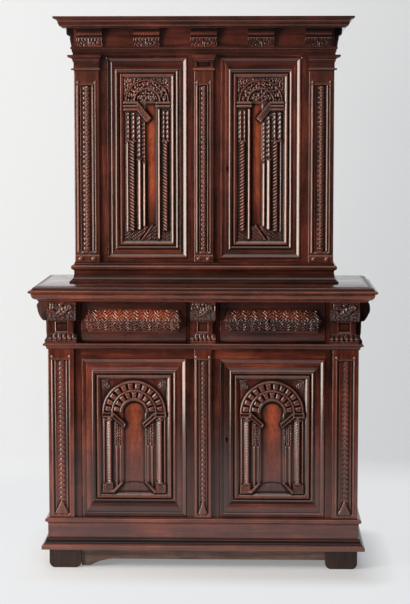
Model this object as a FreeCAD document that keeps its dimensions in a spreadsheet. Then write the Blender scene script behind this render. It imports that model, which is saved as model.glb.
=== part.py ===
# A carved two-stage cupboard in walnut: a narrow stage with two arched doors stands on a wider
# stage with two drawers over two arched doors, on a moulded plinth with block feet.
# Frame: +X to the right, the front faces -Y, +Z up, origin under the middle of the whole box.
import FreeCAD, Part

import math
import os
from types import SimpleNamespace

import Sketcher
from FreeCAD import Rotation, Vector

# Driving dimensions in millimetres
SIZES = {
    # Stages
    "lower_width": 1147, "lower_depth": 463, "upper_width": 962, "upper_depth": 353,
    # Heights from the floor up
    "foot_height": 72, "plinth_height": 88, "cap_height": 30, "lower_opening": 596,
    "door_rail_height": 59, "drawer_opening": 155, "waist_board": 57, "upper_sill_height": 91,
    "upper_opening": 748, "head_rail_height": 36, "frieze_height": 67, "cornice_height": 41,
    # Plinth, apron and feet
    "foot_width": 119, "foot_depth": 100, "foot_round": 22, "plinth_step": 4, "plinth_thickness": 25,
    "base_height": 44, "base_overhang": 23, "base_edge": 14, "base_neck": 5, "base_fillet": 6,
    "cap_overhang": 14, "cap_neck": 4, "cap_fillet": 6,
    "apron_height": 41, "apron_thickness": 20, "apron_recess": 12, "ear_length": 122, "ear_flat": 34,
    "ear_foot": 6,
    # Carcass joinery
    "post_depth": 58, "lower_post_width": 121.5, "upper_post_width": 119, "centre_post_width": 120,
    "rear_post_width": 60, "rear_post_depth": 45, "side_thickness": 30, "tenon_length": 25,
    "tenon_shoulder": 12, "panel_thickness": 12, "panel_setback": 9, "panel_tongue": 8,
    "lower_foot_rail": 90, "lower_top_rail": 200, "upper_foot_rail": 103, "upper_top_rail": 82,
    "floor_thickness": 22, "back_thickness": 14, "back_lap": 20, "shelf_thickness": 18,
    "cleat_width": 22, "cleat_height": 30, "lower_shelf_height": 280, "upper_shelf_height": 360,
    "stop_width": 12, "stop_clearance": 1,
    # Pilasters and capitals
    "pilaster_thickness": 12, "lower_pilaster_width": 96, "upper_pilaster_width": 93,
    "lower_centre_pilaster": 64, "upper_centre_pilaster": 72, "flute_margin": 17, "flute_depth": 5,
    "flute_foot": 20, "flute_head": 14, "pilaster_base_height": 22, "pilaster_base_step": 5,
    "capital_height": 58, "capital_neck": 9, "capital_abacus": 14, "capital_overhang": 22,
    "capital_inner_overhang": 8, "capital_neck_step": 8,
    # Mouldings of the waist and the upper stage
    "waist_overhang": 65, "waist_edge": 40, "waist_lip": 7, "waist_drop": 15, "waist_fillet": 6,
    "waist_bead_height": 23, "waist_bead_overhang": 17, "waist_bead_neck": 6, "waist_bead_fillet": 5,
    "stage_base_height": 78, "stage_base_overhang": 20, "stage_base_edge": 9, "stage_base_neck": 4,
    "stage_base_hollow": 22, "stage_base_torus": 22, "stage_base_fillet": 7,
    "architrave_height": 30, "architrave_overhang": 11, "architrave_step": 4, "architrave_band": 11,
    "cornice_overhang": 70, "cornice_bed": 40, "cornice_fillet": 8, "frieze_thickness": 25,
    "top_thickness": 18,
    # Brackets and consoles
    "bracket_width": 96, "bracket_depth": 28, "bracket_toe": 7, "bracket_crown": 34,
    "bracket_spacing": 211, "side_bracket_inset": 12,
    "console_width": 107, "centre_console_width": 92, "console_depth": 46, "console_neck": 16,
    "console_flare": 26, "console_scroll": 74, "console_foot": 36, "console_lip": 9, "console_notch": 12,
    "side_console_width": 74, "side_console_depth": 34, "side_console_neck": 8, "side_console_flare": 13,
    # Doors
    "door_gap": 2, "door_thickness": 26, "pivot_inset": 8, "pin_radius": 4, "pin_clearance": 0.05,
    "pin_tang": 6, "pin_seat": 20, "pin_depth": 12, "pin_end_clearance": 2,
    "lower_stile": 50, "lower_door_foot": 64, "lower_door_head": 56,
    "upper_stile": 44, "upper_door_foot": 45, "upper_door_head": 56,
    "bead_width": 13, "bead_edge": 3, "plate_thickness": 15, "plate_setback": 5,
    # Perspective arches of the door panels; a share is a part of the arch's radius
    "lower_border": 24, "lower_border_high": 21, "lower_headroom": 16, "lower_ring_share": 0.72,
    "lower_niche_share": 0.38, "lower_column_inset": 4, "lower_impost_drop": 42,
    "upper_border": 20, "upper_border_high": 20, "upper_headroom": 6, "upper_ring_share": 0.75,
    "upper_niche_share": 0.3, "upper_column_inset": 12, "upper_impost_drop": 60, "upper_niche_shift": 12,
    "arch_margin": 5, "column_lap": 4, "impost_height": 29, "impost_rise": 4.5, "plinth_block": 24,
    "ring_rise": 4, "passage_depth": 4, "niche_depth": 9, "field_foot": 13,
    # Locks of the right-hand doors
    "lock_inset": 16, "lock_width": 28, "lock_height": 76, "lock_depth": 18, "bolt_height": 20,
    "bolt_thickness": 8, "bolt_length": 22, "bolt_travel": 14, "bolt_clearance": 0.1,
    "lower_lock_level": 296, "upper_lock_level": 339, "keyhole_radius": 3.5, "keyhole_slot": 12,
    "keyhole_width": 4, "keyhole_inset": 26,
    # Drawers
    "drawer_front": 22, "drawer_depth": 340, "drawer_side": 12, "drawer_side_height": 125,
    "drawer_inset": 6, "drawer_bottom": 8, "drawer_bottom_lift": 8, "runner_width": 30,
    "runner_thickness": 32, "guide_height": 18, "guide_clearance": 1,
    "cushion_margin": 10, "cushion_height": 85, "cushion_rise": 30, "cushion_hip": 26,
    "cushion_ridge": 5, "cushion_lift": 36,
}
LEFT, RIGHT = -1, 1
THROUGH = None


class Size:
    """A length that holds its value and the sheet expression that gives it."""

    def __init__(self, value, text):
        self.value = float(value)
        self.text = text

    @staticmethod
    def of(other):
        return other if isinstance(other, Size) else Size(other, format(float(other), "g"))

    def join(self, other, sign, value):
        return Size(value, "(%s %s %s)" % (self.text, sign, Size.of(other).text))

    def __add__(self, other):
        return self.join(other, "+", self.value + Size.of(other).value)

    def __radd__(self, other):
        return Size.of(other) + self

    def __sub__(self, other):
        return self.join(other, "-", self.value - Size.of(other).value)

    def __rsub__(self, other):
        return Size.of(other) - self

    def __mul__(self, other):
        return self.join(other, "*", self.value * Size.of(other).value)

    def __truediv__(self, other):
        return self.join(other, "/", self.value / Size.of(other).value)

    def __neg__(self):
        return Size(-self.value, "(0 - %s)" % self.text)


doc = FreeCAD.newDocument("Cupboard")
sheet = doc.addObject("Spreadsheet::Sheet", "Sizes")
for row, (alias, value) in enumerate(SIZES.items(), start=1):
    sheet.set("A%d" % row, alias.replace("_", " "))
    sheet.set("B%d" % row, str(value))
    sheet.setAlias("B%d" % row, alias)
doc.recompute()
S = SimpleNamespace(**{alias: Size(value, "Sizes." + alias) for alias, value in SIZES.items()})
nodes = []


# Helpers: binding, boards, compounds and cuts

def bind(obj, path, size):
    """Set a property to a size, and tie it to the sheet where the size comes from there."""
    size = Size.of(size)
    if hasattr(obj, path):
        setattr(obj, path, size.value)
    if "Sizes." in size.text:
        obj.setExpression(path, size.text)


def place(obj, x, y, z, turn=Rotation()):
    """Put an object's own origin at (x, y, z), turned by a fixed rotation."""
    x, y, z = Size.of(x), Size.of(y), Size.of(z)
    obj.Placement = FreeCAD.Placement(Vector(x.value, y.value, z.value), turn)
    for axis, size in zip("xyz", (x, y, z)):
        bind(obj, "Placement.Base." + axis, size)
    return obj


def board(name, x, y, z):
    """A plain board between the low and high limits given for each axis."""
    box = doc.addObject("Part::Box", name)
    for side, (low, high) in zip(("Length", "Width", "Height"), (x, y, z)):
        bind(box, side, Size.of(high) - low)
    return place(box, x[0], y[0], z[0])


def mirrored(side, low, high):
    """Limits along X on the right, or their mirror image on the left."""
    return (low, high) if side == RIGHT else (-Size.of(high), -Size.of(low))


def side_name(side):
    return "left" if side == LEFT else "right"


def rod(name, radius, x, y, z, turn=Rotation()):
    """A round rod that stands on (x, y, z[0]) and ends at z[1], before it is turned."""
    cylinder = doc.addObject("Part::Cylinder", name)
    bind(cylinder, "Radius", radius)
    bind(cylinder, "Height", Size.of(z[1]) - z[0])
    return place(cylinder, x, y, z[0], turn)


def cut(name, base, *tools):
    """The base with each tool taken out of it in turn."""
    for index, tool in enumerate(tools, start=1):
        result = doc.addObject("Part::Cut", name if index == len(tools) else name + "_blank")
        result.Base = base
        result.Tool = tool
        base = result
    return base


def fuse(name, *shapes):
    result = doc.addObject("Part::MultiFuse", name)
    result.Shapes = list(shapes)
    result.Refine = True
    return result


def node(label, *pieces):
    """Register a sub-part: one object, or several separate solids kept together."""
    if len(pieces) == 1:
        part = pieces[0]
    else:
        part = doc.addObject("Part::Compound", label)
        part.Links = list(pieces)
    part.Label = label
    nodes.append(part)
    return part


def rail(name, x, y, z, along):
    """A rail with a tenon at each end; along is the axis that it runs on, 0 for X and 1 for Y."""
    limits = [list(map(Size.of, pair)) for pair in (x, y, z)]
    across = 1 - along
    cheek = (limits[across][1] - limits[across][0]) / 3
    tenon = [list(pair) for pair in limits]
    tenon[along] = [limits[along][0] - S.tenon_length, limits[along][1] + S.tenon_length]
    tenon[across] = [limits[across][0] + cheek, limits[across][1] - cheek]
    tenon[2] = [limits[2][0] + S.tenon_shoulder, limits[2][1] - S.tenon_shoulder]
    return fuse(name, board(name + "_board", *limits), board(name + "_tenon", *tenon))


# Helpers: sketches and features

def new_body(name):
    return doc.addObject("PartDesign::Body", name)


def origin_plane(body, role):
    return next(feature for feature in body.Origin.OriginFeatures if feature.Role == role)


def arc_between(start, end, turn):
    """The circular arc from start to end that turns by so many degrees, left if positive."""
    chord = end - start
    reach = 0.5 / math.tan(math.radians(abs(turn)) / 2)
    side = math.copysign(reach, turn)
    centre = (start + end) * 0.5 + Vector(-chord.y, chord.x, 0) * side
    first, last = (start, end) if turn > 0 else (end, start)
    angles = [math.atan2(point.y - centre.y, point.x - centre.x) for point in (first, last)]
    circle = Part.Circle(centre, Vector(0, 0, 1), (start - centre).Length)
    return Part.ArcOfCircle(circle, *angles)


def pin_point(sketch, geometry, end, corner):
    """Tie one sketch point to its two coordinates, on an axis where a coordinate is nothing."""
    for kind, axis, size in (("DistanceX", -2, corner[0]), ("DistanceY", -1, corner[1])):
        size = Size.of(size)
        if size.text == "0":
            sketch.addConstraint(Sketcher.Constraint("PointOnObject", geometry, end, axis))
            continue
        index = sketch.addConstraint(Sketcher.Constraint(kind, -1, 1, geometry, end, size.value))
        if "Sizes." in size.text:
            sketch.setExpression("Constraints[%d]" % index, size.text)


def draw(sketch, corners):
    """Draw one closed loop; a third value on a corner makes the edge after it an arc of that turn."""
    points = [Vector(Size.of(c[0]).value, Size.of(c[1]).value, 0) for c in corners]
    edges = []
    for index, corner in enumerate(corners):
        start, end = points[index], points[(index + 1) % len(points)]
        turn = corner[2] if len(corner) > 2 else 0
        shape = arc_between(start, end, turn) if turn else Part.LineSegment(start, end)
        edges.append((sketch.addGeometry(shape, False), (1, 2) if turn >= 0 else (2, 1), turn))
    for index, (geometry, ends, turn) in enumerate(edges):
        following, next_ends, _ = edges[(index + 1) % len(edges)]
        sketch.addConstraint(Sketcher.Constraint("Coincident", geometry, ends[1], following, next_ends[0]))
        pin_point(sketch, geometry, ends[0], corners[index])
        if turn:
            here, there = corners[index], corners[(index + 1) % len(corners)]
            spread = 2 * math.sin(math.radians(abs(turn)) / 2)
            chord = points[(index + 1) % len(points)] - points[index]
            number = sketch.addConstraint(Sketcher.Constraint("Radius", geometry, chord.Length / spread))
            run = [(Size.of(there[axis]) - here[axis]).text for axis in (0, 1)]
            if "Sizes." in "".join(run):
                text = "hypot(%s; %s) / %.9f" % (run[0], run[1], spread)
                sketch.setExpression("Constraints[%d]" % number, text)


def outline(body, plane, *loops, lift=0):
    """A sketch of closed loops on one of the body's origin planes, lifted along its normal."""
    sketch = body.newObject("Sketcher::SketchObject", body.Name + "_outline")
    sketch.AttachmentSupport = [(origin_plane(body, plane), "")]
    sketch.MapMode = "FlatFace"
    lift = Size.of(lift)
    sketch.AttachmentOffset = FreeCAD.Placement(Vector(0, 0, lift.value), Rotation())
    bind(sketch, "AttachmentOffset.Base.z", lift)
    for corners in loops:
        draw(sketch, corners)
    return sketch


def pad(body, sketch, length, backwards=False):
    feature = body.newObject("PartDesign::Pad", body.Name + "_pad")
    feature.Profile = sketch
    bind(feature, "Length", length)
    feature.Reversed = backwards
    sketch.Visibility = False
    return feature


def pocket(body, sketch, depth=THROUGH, backwards=False):
    """Cut a sketch into the body, to a depth or right through."""
    feature = body.newObject("PartDesign::Pocket", body.Name + "_pocket")
    feature.Profile = sketch
    if depth is THROUGH:
        feature.Type = "ThroughAll"
    else:
        bind(feature, "Length", depth)
    feature.Reversed = backwards
    sketch.Visibility = False
    return feature


def rectangle(left, right, bottom, top):
    return [(left, bottom), (right, bottom), (right, top), (left, top)]


# Helpers: lengths of moulding
START, END = "start", "end"
UP = Vector(0, 0, 1)
TURN_FRONT = Rotation(UP, 180)
TURN_SIDE = {LEFT: Rotation(UP, 90), RIGHT: Rotation(UP, -90)}


def run(name, profile, height, length, reach=0, mitres=(), setback=0):
    """One length of moulding in its own frame: X along it, Y outward from its back, Z up.

    The profile's corners are (projection, height) from the bottom up. A mitre cuts an end at 45
    degrees, full length at the reach; setback thickens the back behind the mitre's corner.
    """
    body = new_body(name)
    face = [(0, 0)] + [(Size.of(c[0]) + setback,) + tuple(c[1:]) for c in profile] + [(0, height)]
    pad(body, outline(body, "YZ_Plane", face), length)
    square = [(reach, 0), (reach, setback)] if Size.of(setback).value else [(reach, 0)]
    wedge = [(0, 0)] + square + [(0, Size.of(reach) + setback)]
    loops = []
    if START in mitres:
        loops.append(wedge)
    if END in mitres:
        loops.append([(length - u, v) for u, v in wedge])
    if loops:
        pocket(body, outline(body, "XY_Plane", *loops), THROUGH, backwards=True)
    return body


def moulding(label, profile, height, reach, half, front, back, level, setback=0):
    """A moulding of three mitred lengths round the front and both sides of a stage."""
    front_run = run(label + "_front", profile, height, (half + reach) * 2, reach, (START, END), setback)
    place(front_run, half + reach, front + setback, level, TURN_FRONT)
    depth = back - front + reach
    left_run = run(label + "_left", profile, height, depth, reach, (START,))
    place(left_run, -half, front - reach, level, TURN_SIDE[LEFT])
    right_run = run(label + "_right", profile, height, depth, reach, (END,))
    place(right_run, half, back, level, TURN_SIDE[RIGHT])
    return node(label, front_run, left_run, right_run)


def on_front(body, right_end, front, level):
    """Seat a straight length on a front face, by its right-hand end."""
    return place(body, right_end, front, level, TURN_FRONT)


def on_side(body, side, half, low_end, width, level):
    """Seat a straight length on a side face, by the end nearer the front."""
    end = low_end if side == LEFT else low_end + width
    return place(body, half * side, end, level, TURN_SIDE[side])


# Levels and planes that the two stages share
back = (S.lower_depth + S.pilaster_thickness + S.waist_overhang) / 2
level = SimpleNamespace(plinth=S.foot_height)
level.body = level.plinth + S.plinth_height
level.lower_door = level.body + S.cap_height
level.lower_head = level.lower_door + S.lower_opening
level.drawer = level.lower_head + S.door_rail_height
level.waist = level.drawer + S.drawer_opening
level.upper = level.waist + S.waist_board
level.upper_door = level.upper + S.upper_sill_height
level.upper_head = level.upper_door + S.upper_opening
level.frieze = level.upper_head + S.head_rail_height
level.cornice = level.frieze + S.frieze_height
level.capital = level.frieze - S.architrave_height - S.capital_height

lower = SimpleNamespace(
    name="lower", half=S.lower_width / 2, front=back - S.lower_depth, bottom=level.body,
    door=level.lower_door, head=level.lower_head, rail_top=level.drawer, top=level.waist,
    post=S.lower_post_width, foot_rail=S.lower_foot_rail, top_rail=S.lower_top_rail,
    shelf=level.lower_door + S.lower_shelf_height, lock=level.lower_door + S.lower_lock_level,
    stile=S.lower_stile, door_foot=S.lower_door_foot, door_head=S.lower_door_head,
    pilasters=(S.lower_pilaster_width, S.lower_centre_pilaster), pilaster_low=level.lower_door,
    pilaster_high=level.drawer - S.waist_bead_height, pilaster_base=None)
upper = SimpleNamespace(
    name="upper", half=S.upper_width / 2, front=back - S.upper_depth, bottom=level.upper,
    door=level.upper_door, head=level.upper_head, rail_top=level.frieze, top=level.frieze,
    post=S.upper_post_width, foot_rail=S.upper_foot_rail, top_rail=S.upper_top_rail,
    shelf=level.upper_door + S.upper_shelf_height, lock=level.upper_door + S.upper_lock_level,
    stile=S.upper_stile, door_foot=S.upper_door_foot, door_head=S.upper_door_head,
    pilasters=(S.upper_pilaster_width, S.upper_centre_pilaster),
    pilaster_low=level.upper + S.stage_base_height, pilaster_high=level.capital,
    pilaster_base=S.pilaster_base_height)
for stage in (lower, upper):
    stage.face = stage.front - S.pilaster_thickness
    stage.inside = stage.front + S.post_depth
    stage.rear = back - S.rear_post_depth
    stage.door_inner = S.centre_post_width / 2 + S.door_gap
    stage.door_outer = stage.half - stage.post - S.door_gap
    stage.pivot_x = stage.door_outer - S.pivot_inset
    stage.pivot_y = stage.front + S.pivot_inset


# Plinth, feet and apron

def foot(name, left, rear):
    """A block foot with its two lower corners rounded."""
    body = new_body(name)
    width, height, radius = S.foot_width, S.foot_height, S.foot_round
    corners = [(radius, 0), (width - radius, 0, 90), (width, radius), (width, height), (0, height),
               (0, radius, 90)]
    pad(body, outline(body, "XZ_Plane", corners), S.foot_depth)
    return place(body, left, rear, 0)


def apron():
    """The band under the front of the plinth, with one hollow ear against the left foot."""
    body = new_body("front_apron")
    width, top = S.lower_width - S.foot_width * 2, S.foot_height
    under = top - S.apron_height
    corners = [(0, S.ear_foot), (S.ear_flat, S.ear_foot, -30), (S.ear_length, under), (width, under),
               (width, top), (0, top)]
    pad(body, outline(body, "XZ_Plane", corners), S.apron_thickness)
    rear = lower.face - S.plinth_step + S.apron_recess + S.apron_thickness
    return place(body, S.foot_width - lower.half, rear, 0)


def plinth():
    half, front = lower.half + S.plinth_step, lower.face - S.plinth_step
    feet = []
    for side in (LEFT, RIGHT):
        left = mirrored(side, lower.half - S.foot_width, lower.half)[0]
        feet.append(foot("front_foot_" + side_name(side), left, front + S.foot_depth))
        feet.append(foot("rear_foot_" + side_name(side), left, back))
    node("feet", *feet)
    node("front_apron", apron())
    height = (level.plinth, level.body)
    inner = (front + S.plinth_thickness, back - S.plinth_thickness)
    boards = [board("plinth_front", (-half, half), (front, inner[0]), height),
              board("plinth_rear", (-half, half), (inner[1], back), height)]
    for side in (LEFT, RIGHT):
        across = mirrored(side, half - S.plinth_thickness, half)
        boards.append(board("plinth_" + side_name(side), across, inner, height))
    node("plinth_boards", *boards)
    base = [(S.base_overhang, 0), (S.base_overhang, S.base_edge, 90),
            (S.base_overhang - S.base_fillet, S.base_edge + S.base_fillet, -80),
            (S.base_neck, S.base_height - S.base_fillet), (S.base_neck, S.base_height)]
    moulding("plinth_base_moulding", base, S.base_height, S.base_overhang, half, front, back, level.plinth)
    lip = S.cap_overhang - S.cap_neck
    cap = [(S.cap_neck, 0), (S.cap_neck, S.cap_fillet, -80),
           (S.cap_overhang, S.cap_fillet + lip), (S.cap_overhang, S.cap_height - S.cap_fillet, 90),
           (S.cap_overhang - S.cap_fillet, S.cap_height)]
    moulding("plinth_cap_moulding", cap, S.cap_height, S.cap_overhang, lower.half, lower.face, back,
             level.body, setback=S.pilaster_thickness)


# Carcass of one stage

def pilaster(name, stage, width, centre):
    """A board planted on a post, with a sunk channel that ends in a round head."""
    body = new_body(name)
    height = stage.pilaster_high - stage.pilaster_low
    foot_level = S.flute_foot
    pad(body, outline(body, "XZ_Plane", rectangle(0, width, 0, height)), S.pilaster_thickness)
    if stage.pilaster_base is not None:
        foot_level = S.flute_foot + stage.pilaster_base
        block = outline(body, "XZ_Plane", rectangle(0, width, 0, stage.pilaster_base))
        pad(body, block, S.pilaster_thickness + S.pilaster_base_step)
    low, high, radius = S.flute_margin, width - S.flute_margin, width / 2 - S.flute_margin
    crown = height - S.flute_head
    channel = [(low, foot_level), (high, foot_level), (high, crown - radius, 90), (width / 2, crown, 90),
               (low, crown - radius)]
    pocket(body, outline(body, "XZ_Plane", channel, lift=S.pilaster_thickness), S.flute_depth)
    return place(body, centre - width / 2, stage.front, stage.pilaster_low)


def pilaster_centres(stage):
    """Name, width and centre line of a stage's three pilasters."""
    corner, middle = stage.pilasters
    shift = stage.half - corner / 2
    return [("left", corner, -shift), ("centre", middle, Size.of(0)), ("right", corner, shift)]


def side_frame(stage, side):
    """One side: two rails tenoned into the front and rear posts, and a panel held in grooves."""
    name = stage.name + "_" + side_name(side)
    across = mirrored(side, stage.half - S.side_thickness, stage.half)
    along = (stage.inside, stage.rear)
    low = stage.bottom + stage.foot_rail
    high = stage.top - stage.top_rail
    shallow = stage.half - S.panel_setback
    tongue = S.panel_tongue
    panel = board(name + "_side_panel", mirrored(side, shallow - S.panel_thickness, shallow),
                  (along[0] - tongue, along[1] + tongue), (low - tongue, high + tongue))
    rails = [rail(name + "_foot_rail", across, along, (stage.bottom, low), 1),
             rail(name + "_top_rail", across, along, (high, stage.top), 1)]
    return panel, rails


def pivot_bores(stage, below):
    """Bores for the doors' pivot pins, in the rail below or above a stage's doors."""
    top = stage.head + S.pin_depth
    span = (stage.door - S.pin_depth, stage.door) if below else (stage.head, top)
    return [rod("%s_bore_%s" % (stage.name, side_name(side)), S.pin_radius + S.pin_clearance,
                stage.pivot_x * side, stage.pivot_y, span) for side in (LEFT, RIGHT)]


def door_stops(stage):
    """Strips that the doors' free edges close against; the right one takes the lock's bolt."""
    depth = (stage.front + S.door_thickness + S.stop_clearance, stage.inside)
    inner = S.centre_post_width / 2
    strips = [board(stage.name + "_stop_" + side_name(side), mirrored(side, inner, inner + S.stop_width),
                    depth, (stage.door, stage.head)) for side in (LEFT, RIGHT)]
    middle = stage.front + S.door_thickness + S.lock_depth / 2
    room = S.bolt_thickness / 2 + S.bolt_clearance * 5
    rise = S.bolt_height / 2 + S.bolt_clearance * 5
    tip = stage.door_inner + S.lock_inset - S.bolt_travel
    mortise = board(stage.name + "_bolt_mortise", (tip - S.bolt_clearance * 20, inner + S.stop_width),
                    (middle - room, middle + room), (stage.lock - rise, stage.lock + rise))
    return [strips[0], cut(stage.name + "_lock_stop", strips[1], mortise)]


def carcass(stage):
    """Posts, rails, sides, floor, shelf and back of a stage."""
    name, pieces = stage.name, SimpleNamespace(rails=[], panels=[], rear=[], posts=[])
    middle = stage.half - stage.post
    depth = (stage.front, stage.inside)
    sill = rail(name + "_sill", (-middle, middle), depth, (stage.bottom, stage.door), 0)
    head = rail(name + "_head", (-middle, middle), depth, (stage.head, stage.rail_top), 0)
    lap = stage.half - S.rear_post_width + S.back_lap
    step = lap * 2 / 3
    pieces.backs = [board("%s_back_%d" % (name, index), (step * index - lap, step * (index + 1) - lap),
                          (back - S.back_thickness, back), (stage.bottom, stage.top)) for index in range(3)]
    for side, end_board in ((LEFT, 0), (RIGHT, 2)):
        label = name + "_" + side_name(side)
        panel, rails = side_frame(stage, side)
        post = board(label + "_post", mirrored(side, middle, stage.half), depth, (stage.bottom, stage.top))
        pieces.posts.append(cut(label + "_front_post", post, sill, head, panel, *rails))
        rear = board(label + "_rear", mirrored(side, stage.half - S.rear_post_width, stage.half),
                     (stage.rear, back), (stage.bottom, stage.top))
        pieces.rear.append(cut(label + "_rear_post", rear, pieces.backs[end_board], panel, *rails))
        pieces.rails += [cut(label + "_grooved_rail", side_rail, panel) for side_rail in rails]
        pieces.panels.append(panel)
    half_post = S.centre_post_width / 2
    centre_post = board(name + "_centre_post", (-half_post, half_post), depth, (stage.door, stage.head))
    pieces.posts.append(centre_post)
    pieces.posts += door_stops(stage)
    pieces.sill = cut(name + "_bored_sill", sill, *pivot_bores(stage, below=True))
    pieces.head = cut(name + "_bored_head", head, *pivot_bores(stage, below=False))
    wide = stage.half - S.side_thickness
    across, along = (-wide, wide), (stage.inside, back - S.back_thickness)
    floor = board(name + "_floor_board", across, along, (stage.door - S.floor_thickness, stage.door))
    pieces.floor = cut(name + "_floor", floor, *pieces.rear)
    shelf = board(name + "_shelf_board", across, along, (stage.shelf, stage.shelf + S.shelf_thickness))
    pieces.shelf = cut(name + "_shelf", shelf, *pieces.rear)
    pieces.cleats = [board("%s_cleat_%s" % (name, side_name(side)),
                           mirrored(side, wide - S.cleat_width, wide), (stage.inside, stage.rear),
                           (stage.shelf - S.cleat_height, stage.shelf)) for side in (LEFT, RIGHT)]
    return pieces


def both_carcasses():
    low, high = carcass(lower), carcass(upper)
    half_post = S.centre_post_width / 2
    divider = board("drawer_divider", (-half_post, half_post), (lower.front, lower.inside),
                    (level.drawer, level.waist))
    node("lower_front_posts", *low.posts, divider)
    node("upper_front_posts", *high.posts)
    for stage, pieces in ((lower, low), (upper, high)):
        node(stage.name + "_front_rails", pieces.sill, pieces.head)
        node(stage.name + "_floor", pieces.floor)
        node(stage.name + "_shelf", pieces.shelf)
        planted = [pilaster("%s_pilaster_%s" % (stage.name, place_name), stage, width, centre)
                   for place_name, width, centre in pilaster_centres(stage)]
        node(stage.name + "_pilasters", *planted)
        node(stage.name + "_rear_posts", *pieces.rear)
    node("side_rails", *low.rails, *high.rails)
    node("side_panels", *low.panels, *high.panels)
    node("back_boards", *low.backs, *high.backs)
    node("shelf_cleats", *low.cleats, *high.cleats)


# Waist between the stages

def console(name, width, depth, neck, flare):
    """A scrolled bracket of the drawer zone: swelling head, notched neck and flared foot."""
    height = S.drawer_opening
    head, lip = height - S.console_scroll, S.console_lip
    profile = [(flare, 0), (flare, lip, -80), (neck, S.console_foot), (neck, head),
               (neck + lip, head, 70), (depth, height)]
    body = run(name, profile, height, width)
    notches = [rectangle(0, S.console_notch, S.console_foot, head),
               rectangle(width - S.console_notch, width, S.console_foot, head)]
    pocket(body, outline(body, "XZ_Plane", *notches, lift=-lip / 2))
    return body


def consoles():
    fronts = []
    shift = lower.half - S.console_width / 2
    for place_name, width, centre in (("left", S.console_width, -shift),
                                      ("centre", S.centre_console_width, Size.of(0)),
                                      ("right", S.console_width, shift)):
        body = console("console_" + place_name, width, S.console_depth, S.console_neck, S.console_flare)
        fronts.append(on_front(body, centre + width / 2, lower.front, level.drawer))
    node("front_consoles", *fronts)
    width, sides = S.side_console_width, []
    for side in (LEFT, RIGHT):
        for end, low_end in (("front", lower.front), ("rear", back - width)):
            body = console("side_console_%s_%s" % (end, side_name(side)), width, S.side_console_depth,
                           S.side_console_neck, S.side_console_flare)
            sides.append(on_side(body, side, lower.half, low_end, width, level.drawer))
    node("side_consoles", *sides)


def waist():
    height, reach, neck, fillet = (S.waist_bead_height, S.waist_bead_overhang, S.waist_bead_neck,
                                   S.waist_bead_fillet)
    bead = [(neck, 0), (neck, fillet, -80), (reach, fillet + reach - neck), (reach, height - fillet, 90),
            (reach - fillet, height)]
    moulding("waist_moulding", bead, height, reach, lower.half, lower.face, back, level.drawer - height,
             setback=S.pilaster_thickness)
    inset = S.waist_overhang - S.waist_edge
    half, front = lower.half + inset, lower.face - inset
    height = (level.waist, level.upper)
    node("waist_top_board", board("waist_top_board", (-half, half), (front, back), height))
    height, reach, fillet = S.waist_board, S.waist_edge, S.waist_fillet
    tip = height - S.waist_drop
    edge = [(fillet, 0), (fillet, fillet), (fillet * 2, fillet, 80), (reach - fillet, tip - S.waist_lip),
            (reach, tip - S.waist_lip), (reach, tip, 50)]
    moulding("waist_top_moulding", edge, height, reach, half, front, back, level.waist)


# Upper stage trim

def capital(name, pilaster_limits, overhangs):
    """A pilaster's capital: neck band, flaring bell and square abacus, fused as one carved block."""
    low, high = pilaster_limits
    thick, step = S.pilaster_thickness, S.capital_neck_step
    top = level.capital + S.capital_height
    bell = (level.capital + S.capital_neck, top - S.capital_abacus)
    inner = S.capital_inner_overhang / 2

    def slab(suffix, grow, span):
        reach = thick + grow
        return board(name + suffix, (low - inner, high + inner), (upper.front - reach, upper.front), span)

    wedge = doc.addObject("Part::Wedge", name + "_bell")
    widths = {"Xmin": low - inner, "Xmax": high + inner, "X2min": low - overhangs[0],
              "X2max": high + overhangs[1], "Ymin": 0, "Ymax": bell[1] - bell[0], "Zmin": 0, "Z2min": 0,
              "Zmax": thick + inner, "Z2max": thick + S.capital_overhang - inner}
    for side, size in widths.items():
        bind(wedge, side, size)
    place(wedge, 0, upper.front, bell[0], Rotation(Vector(1, 0, 0), 90))
    abacus = board(name + "_abacus", (low - overhangs[0], high + overhangs[1]),
                   (upper.front - thick - S.capital_overhang, upper.front), (bell[1], top))
    return fuse(name, slab("_neck", step, (level.capital, bell[0])), wedge, abacus)


def upper_trim():
    neck, edge, fillet = S.stage_base_neck, S.stage_base_edge, S.stage_base_fillet
    height, reach = S.stage_base_height, S.stage_base_overhang
    torus = (height - fillet - S.stage_base_torus, height - fillet)
    base = [(reach, 0), (reach, edge, -80), (neck, edge + S.stage_base_hollow), (neck, torus[0]),
            (neck + fillet / 2, torus[0], 150), (neck + fillet / 2, torus[1]), (neck, torus[1]),
            (neck, height)]
    moulding("upper_base_moulding", base, height, reach, upper.half, upper.face, back, level.upper,
             setback=S.pilaster_thickness)
    outer, inner = S.capital_overhang, S.capital_inner_overhang
    overhangs = {"left": (outer, inner), "centre": (inner, inner), "right": (inner, outer)}
    node("pilaster_capitals", *[capital("capital_" + place_name, (centre - width / 2, centre + width / 2),
                                        overhangs[place_name])
                                for place_name, width, centre in pilaster_centres(upper)])
    step, band, reach = S.architrave_step, S.architrave_band, S.architrave_overhang
    middle = (step + reach) / 2
    fascias = [(step, 0), (step, band), (middle, band), (middle, band * 2), (reach, band * 2),
               (reach, S.architrave_height)]
    moulding("architrave", fascias, S.architrave_height, reach, upper.half, upper.face, back,
             level.frieze - S.architrave_height, setback=S.pilaster_thickness)


def bracket(name):
    """A frieze bracket: hollow toe under a swelling crown."""
    height, toe, depth = S.frieze_height, S.bracket_toe, S.bracket_depth
    profile = [(toe, 0, -60), ((toe + depth) / 2, height - S.bracket_crown, 100), (depth, height)]
    return run(name, profile, height, S.bracket_width)


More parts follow.
